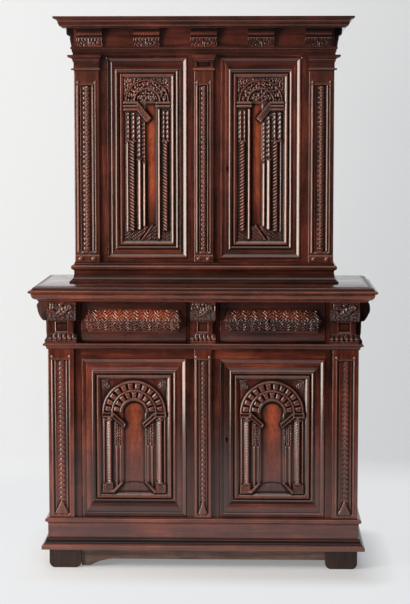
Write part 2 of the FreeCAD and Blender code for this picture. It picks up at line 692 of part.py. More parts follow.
def entablature():
    thick, height = S.frieze_thickness, (level.frieze, level.cornice)
    inner, rear_face = upper.half - thick, upper.face + thick
    boards = [board("frieze_front", (-upper.half, upper.half), (upper.face, rear_face), height)]
    boards += [board("frieze_" + side_name(side), mirrored(side, inner, upper.half), (rear_face, back),
                     height) for side in (LEFT, RIGHT)]
    boards.append(board("frieze_rear", (-inner, inner), (back - S.back_thickness, back),
                        (level.frieze, level.cornice - S.top_thickness)))
    node("frieze_boards", *boards)
    brackets, width = [], S.bracket_width
    for index in range(-2, 3):
        right_end = S.bracket_spacing * index + width / 2
        brackets.append(on_front(bracket("bracket_%d" % (index + 3)), right_end, upper.face, level.frieze))
    for side in (LEFT, RIGHT):
        for end, low_end in (("front", upper.face + S.side_bracket_inset),
                             ("rear", back - S.side_bracket_inset - width)):
            body = bracket("bracket_%s_%s" % (side_name(side), end))
            brackets.append(on_side(body, side, upper.half, low_end, width, level.frieze))
    node("frieze_brackets", *brackets)
    bed, fillet, tall = S.cornice_bed + thick, S.cornice_fillet, S.cornice_height
    reach = S.cornice_overhang + thick
    cyma = [(bed, 0), (bed, fillet, 70), ((bed + reach - fillet) / 2, tall / 2, -70),
            (reach - fillet / 2, tall - fillet), (reach, tall - fillet), (reach, tall)]
    moulding("cornice", cyma, tall, reach, inner, rear_face, back, level.cornice)
    node("upper_top_board", board("upper_top_board", (-inner, inner), (rear_face, back),
                                  (level.cornice - S.top_thickness, level.cornice)))


# Doors

def hanging_stile(name, stage, side, x, y, z):
    """The stile on the pivots, its outer front corner rounded about the pivots' axis."""
    body = new_body(name)
    width, thick, radius = stage.stile, S.door_thickness, S.pivot_inset
    if side == RIGHT:
        corners = [(0, 0), (width - radius, 0, 90), (width, radius), (width, thick), (0, thick)]
    else:
        corners = [(radius, 0), (width, 0), (width, thick), (0, thick), (0, radius, 90)]
    pad(body, outline(body, "XY_Plane", corners), z[1] - z[0])
    return place(body, x[1] - width if side == RIGHT else x[0], y[0], z[0])


def bead_frame(label, front, x, z):
    """Four mitred lengths of bead round a door's panel; x and z are the limits of the opening."""
    width, edge = S.bead_width, S.bead_edge
    wide, tall = x[1] - x[0] + width * 2, z[1] - z[0] + width * 2
    to_front = Rotation(Vector(1, 0, 0), 90)
    lengths = []
    for place_name, angle, length, corner in (
            ("top", 0, wide, (x[0] - width, z[1])), ("foot", 180, wide, (x[1] + width, z[0])),
            ("left", -90, tall, (x[0], z[0] - width)), ("right", 90, tall, (x[1], z[1] + width))):
        body = run(label + "_" + place_name, [(width, 0), (width, edge, 100)], edge, length, width,
                   (START, END))
        turn = Rotation(Vector(0, 1, 0), angle).multiply(to_front)
        lengths.append(place(body, corner[0], front, corner[1], turn))
    return node(label, *lengths)


def arch_outlines(arch, width, height):
    """Loops of a perspective arch on a plate of the given size, with its columns' limits."""
    left, low = S.panel_tongue + arch.border, S.panel_tongue + arch.border_high
    centre = width / 2
    outer = centre - left - S.arch_margin
    inner, niche = outer * arch.ring_share, outer * arch.niche_share
    spring = height - low - arch.headroom - outer
    foot_level = low + S.field_foot
    block = foot_level + S.plinth_block
    column = (left + arch.column_inset, centre - inner + S.column_lap)
    eye = centre + arch.niche_shift
    loops = SimpleNamespace(columns=[column, (width - column[1], width - column[0])])
    loops.column_span = (block, spring - S.impost_height)
    loops.passage = [(centre - inner, foot_level), (centre + inner, foot_level), (centre + inner, spring, 90),
                     (centre, spring + inner, 90), (centre - inner, spring)]
    niche_foot = block + S.field_foot
    loops.niche = [(eye - niche, niche_foot), (eye + niche, niche_foot), (eye + niche, spring, 90),
                   (eye, spring + niche, 90), (eye - niche, spring)]
    loops.ring = [(centre - outer, spring), (centre - inner, spring, -90), (centre, spring + inner, -90),
                  (centre + inner, spring), (centre + outer, spring, 90), (centre, spring + outer, 90)]
    low_impost, near, drop = spring - S.impost_height, S.field_foot / 2, spring - arch.impost_drop
    loops.blocks = []
    for slanted, end in zip(arch.slants, (eye - niche, width - eye - niche)):
        a, b = column[0], column[1] + near
        if slanted:
            loops.blocks.append([
                [(a, low_impost), (b, low_impost), (end, drop - S.impost_height / 2), (end, drop),
                 (b, spring), (a, spring)],
                [(a, foot_level), (b, foot_level), (end, block), (end, niche_foot), (b, block), (a, block)]])
        else:
            loops.blocks.append([rectangle(a, b, low_impost, spring), rectangle(a, b, foot_level, block)])
    loops.blocks[1] = [mirror_loop(loop, width) for loop in loops.blocks[1]]
    return loops


def mirror_loop(corners, width):
    """The loop seen in a mirror that stands at the middle of the plate."""
    return [(width - c[0], c[1]) + tuple(-turn for turn in c[2:]) for c in corners]


def arch_panel(name, arch, width, height, flipped):
    """A door's carved panel: a ring on columns and slanting imposts, a sunk passage and a niche."""
    body = new_body(name)
    loops = arch_outlines(arch, width, height)

    def seen(corners):
        return mirror_loop(corners, width) if flipped else corners

    pad(body, outline(body, "XZ_Plane", rectangle(0, width, 0, height)), S.plate_thickness, backwards=True)
    pocket(body, outline(body, "XZ_Plane", seen(loops.passage)), S.passage_depth)
    pad(body, outline(body, "XZ_Plane", seen(loops.ring)), S.ring_rise)
    blocks = [seen(loop) for pair in loops.blocks for loop in pair]
    rise = S.impost_rise + S.passage_depth
    pad(body, outline(body, "XZ_Plane", *blocks, lift=-S.passage_depth), rise)
    sections = [[(low, 0, 100), (high, 0), (high, S.passage_depth), (low, S.passage_depth)]
                for low, high in loops.columns]
    span = loops.column_span
    pad(body, outline(body, "XY_Plane", *sections, lift=span[0]), span[1] - span[0])
    pocket(body, outline(body, "XZ_Plane", seen(loops.niche)), S.niche_depth)
    return body


def keyhole(stage, x):
    """The tools that cut a keyhole through a stile: a round eye and the slot under it."""
    thick = S.door_thickness
    eye = rod(stage.name + "_keyhole_eye", S.keyhole_radius, x, stage.front, (stage.lock, stage.lock + thick),
              Rotation(Vector(1, 0, 0), -90))
    half = S.keyhole_width / 2
    slot = board(stage.name + "_keyhole_slot", (x - half, x + half), (stage.front, stage.front + thick),
                 (stage.lock - S.keyhole_slot, stage.lock))
    return [eye, slot]


def lock(stage):
    """A rim lock on the back of the right-hand door, with a bolt that shoots towards the stop."""
    left = stage.door_inner + S.lock_inset
    rear = stage.front + S.door_thickness
    middle, play = rear + S.lock_depth / 2, S.bolt_clearance
    thick, rise = S.bolt_thickness / 2, S.bolt_height / 2
    case = board(stage.name + "_lock_body", (left, left + S.lock_width), (rear, rear + S.lock_depth),
                 (stage.lock - S.lock_height / 2, stage.lock + S.lock_height / 2))
    slot = board(stage.name + "_bolt_slot", (left, left + S.bolt_length + play),
                 (middle - thick - play, middle + thick + play),
                 (stage.lock - rise - play, stage.lock + rise + play))
    node(stage.name + "_lock_case", cut(stage.name + "_lock_case", case, slot))
    bolt = board(stage.name + "_lock_bolt", (left, left + S.bolt_length), (middle - thick, middle + thick),
                 (stage.lock - rise, stage.lock + rise))
    node(stage.name + "_lock_bolt", bolt)


def door(stage, side, arch):
    """One door: mortised frame, bead, carved panel in grooves and two iron pivots with square tangs."""
    name = "%s_%s_door" % (stage.name, side_name(side))
    x = mirrored(side, stage.door_inner, stage.door_outer)
    y = (stage.front, stage.front + S.door_thickness)
    z = (stage.door + S.door_gap, stage.head - S.door_gap)
    stile, tongue = stage.stile, S.panel_tongue
    open_x = (x[0] + stile, x[1] - stile)
    open_z = (z[0] + stage.door_foot, z[1] - stage.door_head)
    rails = [rail(name + "_foot_rail", open_x, y, (z[0], open_z[0]), 0),
             rail(name + "_top_rail", open_x, y, (open_z[1], z[1]), 0)]
    plate_front = stage.front + S.plate_setback
    plate = board(name + "_plate", (open_x[0] - tongue, open_x[1] + tongue),
                  (plate_front, plate_front + S.plate_thickness), (open_z[0] - tongue, open_z[1] + tongue))
    pivot_x = stage.pivot_x * side
    journals = ((stage.door - S.pin_depth, z[0]), (z[1], stage.head + S.pin_depth - S.pin_end_clearance))
    tang_spans = ((z[0], z[0] + S.pin_seat), (z[1] - S.pin_seat, z[1]))
    half = S.pin_tang / 2
    tangs = [board(name + "_tang", (pivot_x - half, pivot_x + half),
                   (stage.pivot_y - half, stage.pivot_y + half), span) for span in tang_spans]
    pins = [fuse(name + "_pin", rod(name + "_journal", S.pin_radius, pivot_x, stage.pivot_y, span), tang)
            for span, tang in zip(journals, tangs)]
    hanging = hanging_stile(name + "_hanging", stage, side, x, y, z)
    free_x = (x[0], open_x[0]) if side == RIGHT else (open_x[1], x[1])
    free_tools = rails + [plate]
    if side == RIGHT:
        free_tools = free_tools + keyhole(stage, x[0] + S.keyhole_inset)
    frame = [cut(name + "_hanging_stile", hanging, *rails, plate, *tangs),
             cut(name + "_free_stile", board(name + "_free", free_x, y, z), *free_tools)]
    frame += [cut(name + "_grooved_rail", door_rail, plate) for door_rail in rails]
    node(name + "_frame", *frame)
    bead_frame(name + "_moulding", stage.front, open_x, open_z)
    panel = arch_panel(name + "_panel", arch, open_x[1] - open_x[0] + tongue * 2,
                       open_z[1] - open_z[0] + tongue * 2, flipped=side == RIGHT)
    node(name + "_panel", place(panel, open_x[0] - tongue, plate_front, open_z[0] - tongue))
    node(name + "_pivots", *pins)


def doors():
    lower_arch = SimpleNamespace(
        border=S.lower_border, border_high=S.lower_border_high, headroom=S.lower_headroom,
        ring_share=S.lower_ring_share, niche_share=S.lower_niche_share,
        column_inset=S.lower_column_inset, impost_drop=S.lower_impost_drop, niche_shift=Size.of(0),
        slants=(True, True))
    upper_arch = SimpleNamespace(
        border=S.upper_border, border_high=S.upper_border_high, headroom=S.upper_headroom,
        ring_share=S.upper_ring_share, niche_share=S.upper_niche_share,
        column_inset=S.upper_column_inset, impost_drop=S.upper_impost_drop,
        niche_shift=S.upper_niche_shift, slants=(True, False))
    for stage, arch in ((lower, lower_arch), (upper, upper_arch)):
        for side in (LEFT, RIGHT):
            door(stage, side, arch)
        lock(stage)


# Drawers

def cushion(name, x, low):
    """The hipped cushion planted on a drawer front: a long ridge with sloping ends."""
    length, height = x[1] - x[0] - S.cushion_margin * 2, S.cushion_height
    hip, half = S.cushion_hip, S.cushion_ridge / 2
    crest = height / 2 + S.cushion_ridge
    wedge = doc.addObject("Part::Wedge", name)
    limits = {"Xmin": 0, "Xmax": length, "X2min": hip, "X2max": length - hip, "Ymin": 0,
              "Ymax": S.cushion_rise, "Zmin": 0, "Zmax": height, "Z2min": crest - half,
              "Z2max": crest + half}
    for side, size in limits.items():
        bind(wedge, side, size)
    return place(wedge, (x[0] + x[1] + length) / 2, lower.front, low + S.cushion_lift, TURN_FRONT)


def drawer(side):
    name = side_name(side) + "_drawer"
    x = mirrored(side, lower.door_inner, lower.door_outer)
    low = level.drawer + S.door_gap
    rear_face = lower.front + S.drawer_front
    end = rear_face + S.drawer_depth
    height = (low, level.waist - S.door_gap)
    node(name + "_front", board(name + "_front", x, (lower.front, rear_face), height))
    node(name + "_cushion", cushion(name + "_cushion", x, low))
    outer = (x[0] + S.drawer_inset, x[1] - S.drawer_inset)
    inner = (outer[0] + S.drawer_side, outer[1] - S.drawer_side)
    tall = (low, low + S.drawer_side_height)
    floor = (low + S.drawer_bottom_lift, low + S.drawer_bottom_lift + S.drawer_bottom)
    node(name + "_box",
         board(name + "_left", (outer[0], inner[0]), (rear_face, end), tall),
         board(name + "_right", (inner[1], outer[1]), (rear_face, end), tall),
         board(name + "_bottom", inner, (rear_face, end), floor),
         board(name + "_back", inner, (end - S.drawer_side, end), (floor[1], tall[1])))


def runners():
    """Rails under the drawer sides, each with a guide strip that keeps the drawers straight."""
    top = level.drawer + S.door_gap
    height = (top - S.runner_thickness, top)
    guide = (top, top + S.guide_height)
    wall = lower.half - S.side_thickness
    outer, inner = lower.door_outer - S.drawer_inset, lower.door_inner + S.drawer_inset
    along = (lower.inside, lower.rear)
    pieces = []
    for side in (LEFT, RIGHT):
        name = "runner_" + side_name(side)
        bed = board(name + "_bed", mirrored(side, outer - S.runner_width, wall), along, height)
        strip = board(name + "_guide", mirrored(side, outer + S.guide_clearance, wall), along, guide)
        pieces.append(fuse(name, bed, strip))
    bed, strip = inner + S.runner_width, inner - S.guide_clearance
    along = (lower.inside, back - S.back_thickness)
    pieces.append(fuse("runner_centre", board("runner_centre_bed", (-bed, bed), along, height),
                       board("runner_centre_guide", (-strip, strip), along, guide)))
    node("drawer_runners", *pieces)


# Build, check and write

def write_parts():
    """Stop on any failed object or bad shape, then write one STEP file for each sub-part."""
    failed = [item.Name for item in doc.Objects if {"Invalid", "Error"} & set(item.State)]
    if failed:
        raise RuntimeError("failed objects: " + ", ".join(failed))
    for part in nodes:
        if part.Shape.isNull() or not part.Shape.isValid():
            raise RuntimeError("bad shape: " + part.Label)
    os.makedirs("parts", exist_ok=True)
    for part in nodes:
        part.Shape.exportStep("parts/%s.step" % part.Label)
        print(part.Label, len(part.Shape.Solids), "solids")


plinth()
both_carcasses()
waist()
consoles()
upper_trim()
entablature()
doors()
for side in (LEFT, RIGHT):
    drawer(side)
runners()
doc.recompute()
write_parts()
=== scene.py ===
"""Dress the carved two-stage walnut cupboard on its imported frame.

Sizes are millimetres in the part's own frame: X to the right, the front faces -Y, Z up. They become
metres when a mesh is made. Carved work is a height over a grid; mouldings, planks, consoles and
brackets are profiles carried along a line.
"""
from __future__ import annotations

import logging
import math
from dataclasses import dataclass, replace
from enum import Enum
from functools import partial
from typing import Callable, Iterable, Sequence

import bpy
import numpy as np
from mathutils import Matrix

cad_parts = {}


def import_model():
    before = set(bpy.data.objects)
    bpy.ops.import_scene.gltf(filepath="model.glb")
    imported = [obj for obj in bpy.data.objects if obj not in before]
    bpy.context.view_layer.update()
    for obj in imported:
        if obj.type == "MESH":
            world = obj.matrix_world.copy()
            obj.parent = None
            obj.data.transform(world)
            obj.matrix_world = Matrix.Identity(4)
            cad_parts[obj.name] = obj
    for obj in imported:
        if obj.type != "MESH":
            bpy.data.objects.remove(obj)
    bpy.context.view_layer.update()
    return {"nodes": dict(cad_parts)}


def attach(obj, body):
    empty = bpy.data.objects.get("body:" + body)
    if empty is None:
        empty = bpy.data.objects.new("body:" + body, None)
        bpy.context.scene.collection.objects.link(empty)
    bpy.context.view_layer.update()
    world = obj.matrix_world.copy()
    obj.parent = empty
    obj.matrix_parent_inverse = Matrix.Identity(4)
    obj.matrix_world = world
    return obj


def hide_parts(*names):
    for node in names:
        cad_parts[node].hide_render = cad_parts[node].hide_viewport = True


LOG = logging.getLogger("cupboard")
MM = 0.001
Array = np.ndarray
Corner = Sequence[float]
Way = tuple[float, float, float]
Socket = bpy.types.NodeSocket
RIGHT: Way = (1.0, 0.0, 0.0)
LEFT: Way = (-1.0, 0.0, 0.0)
FORWARD: Way = (0.0, -1.0, 0.0)
BACKWARD: Way = (0.0, 1.0, 0.0)
UP: Way = (0.0, 0.0, 1.0)
DOWN: Way = (0.0, 0.0, -1.0)


# Meshes worked out as arrays

@dataclass
class Surface:
    """One or more closed shells in millimetres, with what the finish needs at each point."""

    points: Array
    quads: Array
    triangles: Array
    caps: list[Array]
    grime: Array
    grain: Array
    tone: Array
    warm: Array

    def turned_out(self) -> "Surface":
        """Return the same shell with its faces pointing outwards, by the sign of its volume."""
        corners = [self.quads[:, [0, 1, 2]], self.quads[:, [0, 2, 3]], self.triangles]
        for cap in self.caps:
            corners.append(np.stack([np.full(len(cap) - 2, cap[0]), cap[1:-1], cap[2:]], axis=1))
        a, b, c = np.moveaxis(self.points[np.concatenate(corners)], 1, 0)
        if np.einsum("ij,ij->i", a, np.cross(b, c)).sum() < 0:
            self.quads = self.quads[:, ::-1]
            self.triangles = self.triangles[:, ::-1]
            self.caps = [cap[::-1] for cap in self.caps]
        return self

    @staticmethod
    def joined(parts: Iterable["Surface"]) -> "Surface":
        """Put several shells into one surface.

        Args:
            parts: the shells, each closed by itself.

        Returns:
            One surface with the shells' points and faces one after the other.
        """
        parts = list(parts)
        starts = np.cumsum([0] + [len(part.points) for part in parts])
        faces = {name: np.concatenate([getattr(part, name) + start for part, start in zip(parts, starts)])
                 for name in ("quads", "triangles")}
        values = {name: np.concatenate([getattr(part, name) for part in parts])
                  for name in ("points", "grime", "grain", "tone", "warm")}
        caps = [cap + start for part, start in zip(parts, starts) for cap in part.caps]
        return Surface(caps=caps, **faces, **values)


class Grain(Enum):
    """The way the wood's fibres run in a board."""

    UPRIGHT = UP
    LEVEL = RIGHT
    DEEP = BACKWARD


class Crease(Enum):
    """The bend in degrees beyond which an edge stays sharp, by the kind of work."""

    MOULDED = 32.0
    PLANED = 40.0
    BLOCK = 60.0
    CARVED = 80.0


def tone_of(name: str) -> float:
    """Return a board's own shade between -1 and 1, the same on every run, from its name's letters."""
    return math.sin(sum((place + 3) * ord(letter) for place, letter in enumerate(name)) * 0.7341)


def shell(name: str, points: Array, quads: Array, triangles: Array, caps: list[Array], grime: Array,
          grain: Grain, warm: Array | None = None) -> Surface:
    """Gather the arrays of one closed shell cut from one board.

    Args:
        name: the board's name, which gives its shade.
        points: corners in millimetres, one row each.
        quads: faces of four corners.
        triangles: faces of three corners.
        caps: flat end faces of many corners.
        grime: 1 in a hollow, darkened by grime and painted shade, -1 on a worn ridge, lightened by wear
        and a painted highlight, for each point.
        grain: the way of the fibres.
        warm: 1 where the orange of bared wood shows, with painted light in the niches and on the
        cushions' upper tiers, for each point.

    Returns:
        The shell, with its faces turned outwards.
    """
    count = len(points)
    fibres = np.tile(np.array(grain.value), (count, 1))
    bare_and_lit = np.zeros(count) if warm is None else warm.ravel()
    return Surface(points, quads, triangles, caps, grime.ravel(), fibres, np.full(count, tone_of(name)),
                   bare_and_lit).turned_out()


def grid_quads(rows: int, columns: int, wrapped: bool = False) -> Array:
    """Return the faces of a grid of points, closed round its columns where it is wrapped."""
    index = np.arange(rows * columns).reshape(rows, columns)
    right = np.roll(index, -1, axis=1)
    keep = columns if wrapped else columns - 1
    faces = np.stack([index[:-1], right[:-1], right[1:], index[1:]], axis=-1)[:, :keep]
    return faces.reshape(-1, 4)


def loft(name: str, rings: Array, grain: Grain, grime: Array) -> Surface:
    """Join closed rings of points into one shell with flat ends.

    Args:
        name: the board's name.
        rings: points as (stations, points round the ring, 3).
        grain: the way of the fibres.
        grime: a value for each point.

    Returns:
        The closed shell.
    """
    stations, around = rings.shape[:2]
    last = (stations - 1) * around + np.arange(around)
    return shell(name, rings.reshape(-1, 3), grid_quads(stations, around, wrapped=True),
                 np.zeros((0, 3), int), [np.arange(around)[::-1], last], grime, grain)


def make_piece(name: str, surface: Surface, finish: bpy.types.Material, crease: Crease) -> bpy.types.Object:
    """Put a surface into a new mesh object at the origin, in metres.

    Args:
        name: the piece's name.
        surface: the closed shells.
        finish: the material.
        crease: the kind of work, which says what edges stay sharp.

    Returns:
        The new object, linked to the scene.
    """
    mesh = bpy.data.meshes.new(name)
    loops = np.concatenate([surface.quads.ravel(), surface.triangles.ravel(), *surface.caps])
    sizes = np.concatenate([np.full(len(surface.quads), 4), np.full(len(surface.triangles), 3),
                            np.array([len(cap) for cap in surface.caps], int)])
    mesh.vertices.add(len(surface.points))
    mesh.vertices.foreach_set("co", (surface.points * MM).astype(np.float32).ravel())
    mesh.loops.add(len(loops))
    mesh.loops.foreach_set("vertex_index", loops.astype(np.int32))
    mesh.polygons.add(len(sizes))
    mesh.polygons.foreach_set("loop_start", (np.cumsum(sizes) - sizes).astype(np.int32))
    for label, kind, values, field in (("grime", "FLOAT", surface.grime, "value"),
                                       ("tone", "FLOAT", surface.tone, "value"),
                                       ("warm", "FLOAT", surface.warm, "value"),
                                       ("grain", "FLOAT_VECTOR", surface.grain, "vector")):
        layer = mesh.attributes.new(label, kind, "POINT")
        layer.data.foreach_set(field, values.astype(np.float32).ravel())
    mesh.update(calc_edges=True)
    mesh.polygons.foreach_set("use_smooth", np.ones(len(sizes), bool))
    mesh.set_sharp_from_angle(angle=math.radians(crease.value))
    mesh.materials.append(finish)
    piece = bpy.data.objects.new(name, mesh)
    bpy.context.scene.collection.objects.link(piece)
    return piece


def plant(name: str, surface: Surface, finish: bpy.types.Material, crease: Crease, body: str, node: str) -> None:
    """Make a piece that rides a body in place of a CAD node, and log it.

    Args:
        name: the piece's name.
        surface: the closed shells.
        finish: the material.
        crease: the kind of work, which says what edges stay sharp.
        body: the body that carries it.
        node: the CAD node that it stands for.
    """
    piece = make_piece(name, surface, finish, crease)
    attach(piece, body)
    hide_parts(node)
    LOG.info("%s: %d faces on %s", piece.name, len(piece.data.polygons), body)


# Profiles, planks and mouldings

def traced(corners: Sequence[Corner], step: float = 1.2) -> Array:
    """Trace an open profile; a third value on a corner makes the run after it an arc of that turn.

    Args:
        corners: (outward, up) or (outward, up, degrees turned), positive to the left.
        step: the most that two points on an arc lie apart.

    Returns:
        The points of the profile, one row each.
    """
    points = []
    for here, there in zip(corners, list(corners[1:]) + [None]):
        start = np.array(here[:2], float)
        points.append(start[None])
        if there is None or len(here) < 3:
            continue
        end, turn = np.array(there[:2], float), math.radians(here[2])
        chord = end - start
        reach = 0.5 / math.tan(turn / 2)
        centre = (start + end) / 2 + np.array([-chord[1], chord[0]]) * reach
        spoke = start - centre
        count = max(3, int(np.hypot(*spoke) * abs(turn) / step) + 1)
        angles = np.linspace(0, turn, count + 1)[1:-1, None]
        points.append(centre + spoke * np.cos(angles) + np.array([-spoke[1], spoke[0]]) * np.sin(angles))
    return np.concatenate(points)


def evened(points: Array, step: float) -> Array:
    """Return a line's points set out again at equal steps along it, its ends kept."""
    lengths = np.concatenate([[0], np.cumsum(np.hypot(*np.diff(points, axis=0).T))])
    places = np.linspace(0, lengths[-1], max(3, int(round(lengths[-1] / step)) + 1))
    return np.stack([np.interp(places, lengths, points[:, axis]) for axis in (0, 1)], axis=1)


def blurred(values: Array, reach: int, axis: int) -> Array:
    """Return values averaged over so many neighbours each way along one axis, ends repeated."""
    if reach < 1:
        return values
    padded = np.pad(values, [(reach + 1, reach) if a == axis else (0, 0) for a in range(values.ndim)], "edge")
    sums = np.cumsum(padded, axis=axis)
    width = 2 * reach + 1
    high = np.take(sums, range(width, sums.shape[axis]), axis=axis)
    low = np.take(sums, range(0, sums.shape[axis] - width), axis=axis)
    return (high - low) / width


def hollows(height: Array, reach: tuple[int, int], scale: float) -> Array:
    """Return how far each point lies under its blurred surroundings, from -1 on ridges to 1.

    Args:
        height: heights over a grid, in millimetres.
        reach: the neighbours that count, up and across.
        scale: the depth in millimetres that counts as full.

    Returns:
        The grime and painted shade of each point.
    """
    around = blurred(blurred(height, reach[0], 0), reach[1], 1)
    around = blurred(blurred(around, reach[0], 0), reach[1], 1)
    return np.clip((around - height) / scale, -1, 1)


def profile_grime_and_shade(points: Array, reach: float = 3.2, scale: float = 1.3) -> Array:
    """Return the grime and painted shade along a profile: where its smoothed line lies outside it, it is hollow.
    """
    spacing = np.hypot(*np.diff(points, axis=0).T).mean()
    count = max(1, int(reach / max(spacing, 0.1)))
    smooth = np.stack([blurred(blurred(points[:, axis], count, 0), count, 0) for axis in (0, 1)], axis=1)
    tangent = np.gradient(points, axis=0)
    normal = np.stack([tangent[:, 1], -tangent[:, 0]], axis=1)
    normal /= np.maximum(np.hypot(*normal.T), 1e-9)[:, None]
    return np.clip(((smooth - points) * normal).sum(axis=1) / scale, -1, 1)


SootAndShade = tuple[float, float, float]
CLEAN: SootAndShade = (0.0, 0.0, 0.5)


def mitred_run(name: str, face: Array, origin: Corner, along: Way, outward: Way, rise: Way, length: float,
               mitres: tuple[float, float], grain: Grain, setback: float = 0.0,
               soot_and_shade: SootAndShade = CLEAN) -> Surface:
    """Carry a profile along a straight run whose ends may be mitred.

    A point of projection p and height q lies at origin + along * s + outward * p + rise * q, where s
    runs from -p * mitre at the start to length + p * mitre at the end.

    Args:
        name: the run's name.
        face: the profile from its foot to its top, as (projection, height) rows.
        origin: the start of the run on the wall it is planted on.
        along: direction of the run.
        outward: direction away from the wall.
        rise: direction of the profile's height.
        length: length of the run at the wall.
        mitres: 1 for an outer mitre, 0 for a square end, at the start and the end.
        grain: the way of the fibres.
        setback: how far the back lies behind the wall's line, to reach the boards there.
        soot_and_shade: grime and painted shade over the run's lower part and over its upper part, and the share
        of its height where they meet.

    Returns:
        The closed shell.
    """
    face = evened(face, 1.1)
    low, high = face[0], face[-1]
    ring = np.concatenate([[[-setback, low[1]]], face, [[-setback, high[1]]]])
    share = (face[:, 1] - face[:, 1].min()) / np.ptp(face[:, 1])
    dirt_and_shade = soot_and_shade[0] + (soot_and_shade[1] - soot_and_shade[0]) * eased(share, soot_and_shade[2] - 0.08, soot_and_shade[2] + 0.08)
    grime = np.concatenate([[0.0], np.clip(profile_grime_and_shade(face) + dirt_and_shade, -1, 1), [0.0]])
    stations = np.linspace(0, 1, max(3, int(length / 60)))[:, None]
    # A hand plane leaves the face up to half a millimetre out of true between the mitres
    wave = 0.25 * np.sin(stations * length / 71.0 + low[1]) + 0.18 * np.sin(stations * length / 29.0)
    wave = wave * np.sin(math.pi * stations) ** 0.5
    front = np.concatenate([[0.0], np.ones(len(face)), [0.0]])[None]
    reach = ring[None, :, 0] + wave * front
    start, end = -ring[None, :, 0] * mitres[0], length + ring[None, :, 0] * mitres[1]
    travel = start + (end - start) * stations
    height = np.broadcast_to(ring[None, :, 1], travel.shape)
    axes = [np.array(axis, float) for axis in (along, outward, rise)]
    rings = np.array(origin, float) + sum(
        values[..., None] * axis for values, axis in zip((travel, reach, height), axes))
    return loft(name, rings, grain, np.broadcast_to(grime, travel.shape))


def plank(name: str, low: Corner, high: Corner, grain: Grain, soft: float, soot_and_shade: float = -0.35) -> Surface:
    """A board with worn, rounded arrises: a rounded rectangle carried along the grain.

    Args:
        name: the board's name.
        low: its lowest corner.
        high: its highest corner.
        grain: the way of the fibres, which is the way it is carried.
        soft: radius of the arrises.
        soot_and_shade: grime and painted shade all over the board, negative where hands have rubbed it.

    Returns:
        The closed shell.
    """
    low, high = np.array(low, float), np.array(high, float)
    run = int(np.argmax(grain.value))
    first, second = [axis for axis in range(3) if axis != run]
    quarter = np.linspace(0, math.pi / 2, 4)
    arc = np.stack([np.cos(quarter), np.sin(quarter)], axis=1)
    turns = [arc, np.stack([-arc[:, 1], arc[:, 0]], 1), -arc, np.stack([arc[:, 1], -arc[:, 0]], 1)]
    signs = np.array([[1, 1], [-1, 1], [-1, -1], [1, -1]])
    outline = np.concatenate(turns)
    corner = np.repeat(signs, len(quarter), axis=0)
    half, middle = (high - low) / 2, (high + low) / 2
    sink, ease = soft * (1 - np.sin(quarter)), half[run] - soft * (1 - np.cos(quarter))
    travel = np.concatenate([-ease, ease[::-1]])
    inset = np.concatenate([sink, sink[::-1]])[:, None]
    rings = np.empty((len(travel), len(corner), 3))
    rings[..., run] = middle[run] + travel[:, None]
    for axis, column in ((first, 0), (second, 1)):
        edge = corner[None, :, column] * (half[axis] - soft) + outline[None, :, column] * soft
        rings[..., axis] = middle[axis] + edge - np.sign(edge) * inset
    return loft(name, rings, grain, np.full(rings.shape[:2], soot_and_shade))


# Carving

def eased(value: Array, low: float, high: float) -> Array:
    """Return 0 under low and 1 over high, with a smooth step between."""
    share = np.clip((value - low) / (high - low), 0, 1)
    return share * share * (3 - 2 * share)


def dome(offset: Array, radius: float) -> Array:
    """Return the height of a half round of unit rise at an offset from its middle."""
    return np.sqrt(np.clip(1 - (offset / radius) ** 2, 0, 1))


def flank(offset: Array, radius: float) -> Array:
    """Return the height of a shaft with a broad flank on its low side and a steep one behind.

    The broad flank is a little rounded: it falls from about 38 to 17 degrees over three quarters of
    the width.
    """
    share = np.clip((offset + radius) / (2 * radius), 0, 1)
    return 2 * radius * np.minimum(0.78 * share - 0.32 * share ** 2, 1.5 * (1 - share))


def ridge(offset: Array, radius: float) -> Array:
    """Return the height of a low roof with flanks of about 26 degrees and a rounded top."""
    return 0.5 * radius * np.clip(1.08 - np.sqrt((offset / radius) ** 2 + 0.0064), 0, None)


def in_box(u: Array, v: Array, left: float, right: float, low: float, high: float) -> Array:
    """Return the distance inside a rectangle, negative outside."""
    return np.minimum(np.minimum(u - left, right - u), np.minimum(v - low, high - v))


def in_shape(u: Array, v: Array, corners: Sequence[Corner]) -> Array:
    """Return the distance inside a convex outline given round its corners, negative outside."""
    points = np.array(corners, float)
    centre = points.mean(axis=0)
    inside = np.full(u.shape, np.inf)
    for here, there in zip(points, np.roll(points, -1, axis=0)):
        edge = there - here
        normal = np.array([-edge[1], edge[0]]) / np.hypot(*edge)
        if ((centre - here) * normal).sum() < 0:
            normal = -normal
        inside = np.minimum(inside, (u - here[0]) * normal[0] + (v - here[1]) * normal[1])
    return inside


